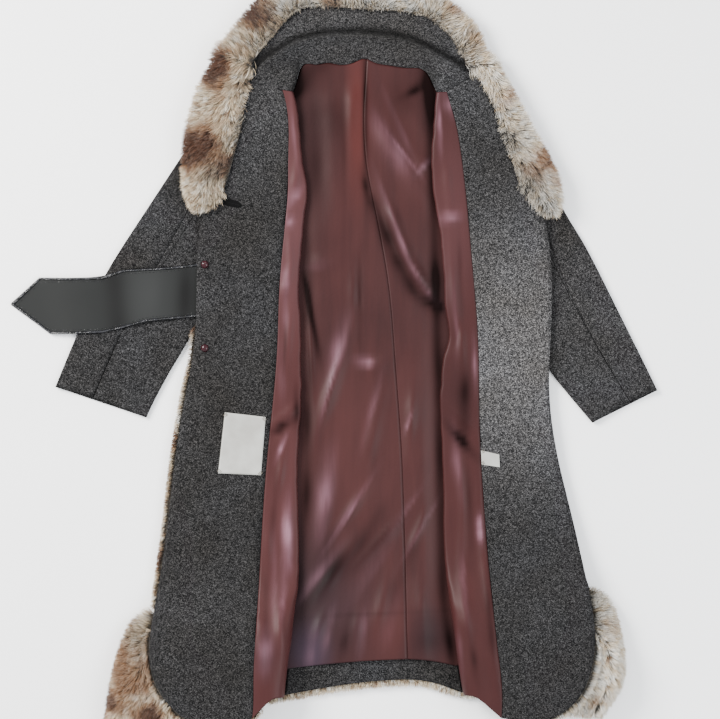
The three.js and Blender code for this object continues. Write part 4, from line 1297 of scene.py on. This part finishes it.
class COAT_OT_trims(bpy.types.Operator):
    """Makes the half belt, the labels, the buttonhole and the fasteners"""

    bl_idname = "coat.trims"
    bl_label = "Belt, labels and fasteners"

    def execute(self, context):
        self.belt()
        self.labels()
        self.fasteners()
        self.buttonhole()
        self.stitching()
        return {"FINISHED"}

    @staticmethod
    def belt():
        """The half belt's backing, with its bound edge and a row of stitches."""
        paint = Paint("belt_backing")
        slow = paint.patches(14)
        plain = paint.blend(slow, tint((0.0062, 0.0067, 0.0065)), tint((0.008, 0.0086, 0.0083)))
        # A painted pool of light on the belt's middle, and painted shade in its bands
        lit = paint.near(*zone(-320, 92, 0.06, 0.12))
        plain = paint.blend(lit, plain, tint((0.0125, 0.0132, 0.013)))
        paint.feed("Base Color", paint.blend(paint.attribute("shade"), plain, grey(0.0006)))
        paint.feed("Roughness", 0.55 + 0.12 * slow)
        paint.feed("Normal", paint.bump(paint.cloud(420, detail=3), 0.2, 0.0004))
        paint.fix(Specular_IOR_Level=0.14)
        piece = smoothed("belt_right", "_band", 3, TRIM_RIM)
        shape(piece, lambda x, y, z: crease_height(BELT_CREASES, x, y))
        shade(piece, BELT_HOLLOWS)
        ready(piece, paint.material, "belt_backing", "belt_right")

        gloss = Paint("belt_edge")
        gloss_and_wear = gloss.patches(160, 0.35, 0.7)
        gloss.feed("Base Color", gloss.blend(gloss_and_wear, grey(0.001), tint((0.004, 0.004, 0.007))))
        gloss.feed("Roughness", 0.12 + 0.3 * gloss_and_wear)
        gloss.feed("Normal", gloss.bump(gloss.cloud(420), 0.8, 0.0012))
        top = surface(["belt_right_band"])
        rim = [on(top, x, y, 0.1) for x, y in along_path(BELT_EDGE, 2.0)]
        thread("belt_binding", [rim], 1.9, gloss.material, "belt_backing")
        stitches = dashes(top, along_path(BELT_STITCHES, 1.3), 0.12)
        thread("belt_stitches", stitches, 0.3, gloss.material, "belt_backing")

    @staticmethod
    def labels():
        """The bare label and tab, and the tacks that hold them."""
        paint = Paint("ivory_satin")
        weave = paint.cloud(900, detail=1, grain=0.2)
        slow = paint.patches(30)
        paint.feed("Base Color", paint.blend(slow, tint((0.25, 0.243, 0.22)), tint((0.34, 0.34, 0.318))))
        paint.feed("Normal", paint.bump(weave, 0.3, 0.0003))
        paint.fix(Roughness=0.42, Sheen_Weight=0.2)
        for node in ("label", "tab"):
            piece = smoothed(node, "_cloth", 3, TRIM_RIM)
            shape(piece, lambda x, y, z: ripple(x, y, 26, 0.5))
            ready(piece, paint.material, "label", node)
        yarn = plain_paint("label_thread", 900, tint((0.05, 0.04, 0.03)), tint((0.16, 0.14, 0.11)))
        top = surface(["label_cloth", "tab_cloth", "facing_right_cloth", "facing_left_cloth"])
        stitches = []
        for x, y, turn in LABEL_TACKS:
            way, across = math.radians(turn), math.radians(turn + 90)
            for shift in (-1.6, 0, 1.6):
                px, py = x + shift * math.cos(across), y + shift * math.sin(across)
                ends = [(px + r * math.cos(way), py + r * math.sin(way)) for r in (-3, 0, 3)]
                stitches.append([on(top, ex, ey, 0.25) for ex, ey in ends])
        thread("label_tacks", stitches, 0.35, yarn, "label")

    @staticmethod
    def buttonhole():
        """Close black stitches round a slit in the right facing."""
        yarn = plain_paint(
            "black_thread", 900, grey(0.001), grey(0.006), Roughness=0.8, Specular_IOR_Level=0.04)
        top = surface(["facing_right_cloth"])
        (x0, y0), (x1, y1) = BUTTONHOLE
        length = math.hypot(x1 - x0, y1 - y0)
        ux, uy = (x1 - x0) / length, (y1 - y0) / length
        # A black thread along the slit stands for the shade in its opening: painted shade
        slit = [on(top, x0 + ux * r, y0 + uy * r, 0.1) for r in np.linspace(1, length - 1, 12)]
        thread("buttonhole_slit", [slit], 1.6, yarn, "wool")
        stitches = []
        for k, r in enumerate(np.linspace(0, length, 27)):
            half = 4.6 * math.sqrt(max(1 - (2 * r / length - 1) ** 4, 0.15)) + 0.5 * (k % 2)
            marks = [(0.6, 0.5), (0.5 * half, 1.3), (half, 0.4)]
            for side in (-1, 1):
                stitches.append([
                    on(top, x0 + ux * r - uy * side * out, y0 + uy * r + ux * side * out, lift)
                    for out, lift in marks
                ])
        thread("buttonhole_stitches", stitches, 0.8, yarn, "wool")

    @staticmethod
    def stitching():
        """Two rows of stitches along the neckline's roll, and a dark thread of painted shadow in each
        sleeve's seam.
        """
        yarn = plain_paint("grey_thread", 900, grey(0.004), grey(0.02))
        top = surface(["back_neck_facing_cloth", "facing_right_cloth", "facing_left_cloth"])
        stitches = []
        for shift in (7, 11):
            stitches += dashes(top, along_path([(x, y - shift) for x, y in NECK_LINE[1:-1]], 1.4), 0.1)
        thread("neck_stitches", stitches, 0.35, yarn, "wool")
        groove = plain_paint(
            "seam_shadow", 600, grey(0.0005), grey(0.002), Roughness=1.0, Specular_IOR_Level=0.02)
        for side, line in SLEEVE_SEAMS.items():
            top = surface(["topsleeve_" + side + "_cloth", "undersleeve_" + side + "_cloth"])
            seam = [on(top, x, y, -0.3) for x, y in along_path(line, 4)]
            thread("sleeve_seam_" + side, [seam], 0.55, groove, "wool")

    @staticmethod
    def fasteners():
        paint = Paint("garnet")
        depth = paint.cloud(300, detail=1)
        dark, light = tint((0.003, 0.0004, 0.001)), tint((0.03, 0.0015, 0.005))
        paint.feed("Base Color", paint.blend(depth, dark, light))
        paint.feed("Normal", paint.bump(paint.cells(700), 0.5, 0.0006))
        paint.fix(Roughness=0.16, Specular_IOR_Level=0.3)
        for node in ("fastener_upper", "fastener_lower"):
            piece = copy_of(node, node + "_dome")
            refine(piece, 2)
            ready(piece, paint.material, "garnet", node)


class COAT_OT_stage(bpy.types.Operator):
    """Makes the floor, the soft light and the camera straight above"""

    bl_idname = "coat.stage"
    bl_label = "Floor, light and camera"

    def execute(self, context):
        settings = context.scene.coat_stage
        bpy.ops.mesh.primitive_plane_add(size=8, location=(0, 0, -0.0005))
        floor = context.object
        floor.name = "floor"
        paint = Paint("floor_paint")
        paint.feed("Base Color", paint.blend(paint.patches(2), grey(0.86), grey(0.9)))
        paint.fix(Roughness=0.9)
        floor.data.materials.append(paint.material)

        world = context.scene.world or bpy.data.worlds.new("Studio")
        context.scene.world = world
        world.use_nodes = True
        sky = world.node_tree.nodes["Background"]
        sky.inputs["Color"].default_value = tint((0.95, 0.97, 1.0))
        sky.inputs["Strength"].default_value = 1.75
        centre = place(0, 0)
        lamps = [
            ("key_light", (-2.1, 1.3, 1.9), 1.6, 310, (1.0, 0.98, 0.95)),
            ("fill_light", (1.9, -0.6, 2.2), 2.0, 90, (0.94, 0.97, 1.0)),
        ]
        for name, (x, y, z), size, power, colour in lamps:
            bpy.ops.object.light_add(type="AREA", location=(centre.x + x, centre.y + y, z))
            lamp = context.object
            lamp.name = name
            lamp.data.shape = "DISK"
            lamp.data.size = size
            lamp.data.energy = power
            lamp.data.color = colour
            lamp.rotation_euler = Vector((x, y, z)).to_track_quat("Z", "Y").to_euler()

        bpy.ops.object.camera_add(location=(centre.x, centre.y, settings.height), rotation=(0, 0, 0))
        camera = context.object
        camera.name = "camera"
        camera.data.sensor_fit = "HORIZONTAL"
        camera.data.angle = 2 * math.atan(settings.view / 2 / settings.height)
        context.scene.camera = camera
        return {"FINISHED"}


class COAT_PT_panel(bpy.types.Panel):
    """Lists the coat's pieces and their settings"""

    bl_label = "Coat"
    bl_idname = "COAT_PT_panel"
    bl_space_type = "VIEW_3D"
    bl_region_type = "UI"
    bl_category = "Coat"

    def draw(self, context):
        for operator in OPERATORS:
            self.layout.operator(operator.bl_idname)
        for name, group in SETTINGS.items():
            box = self.layout.box()
            for key in group.__annotations__:
                box.prop(getattr(context.scene, name), key)


SETTINGS = {
    "coat_wool": CoatWoolSettings,
    "coat_satin": CoatSatinSettings,
    "coat_fur": CoatFurSettings,
    "coat_stage": CoatStageSettings,
}
OPERATORS = [COAT_OT_stage, COAT_OT_wool, COAT_OT_lining, COAT_OT_trims, COAT_OT_fur]


def register():
    for group in SETTINGS.values():
        bpy.utils.register_class(group)
    for operator in OPERATORS:
        bpy.utils.register_class(operator)
    bpy.utils.register_class(COAT_PT_panel)
    for name, group in SETTINGS.items():
        setattr(bpy.types.Scene, name, bpy.props.PointerProperty(type=group))


def unregister():
    for name in SETTINGS:
        delattr(bpy.types.Scene, name)
    bpy.utils.unregister_class(COAT_PT_panel)
    for operator in reversed(OPERATORS):
        bpy.utils.unregister_class(operator)
    for group in reversed(SETTINGS.values()):
        bpy.utils.unregister_class(group)


def main():
    register()
    bpy.ops.coat.stage()
    bpy.ops.coat.wool()
    bpy.ops.coat.lining()
    bpy.ops.coat.trims()
    bpy.ops.coat.fur()


if __name__ == "__main__":
    main()
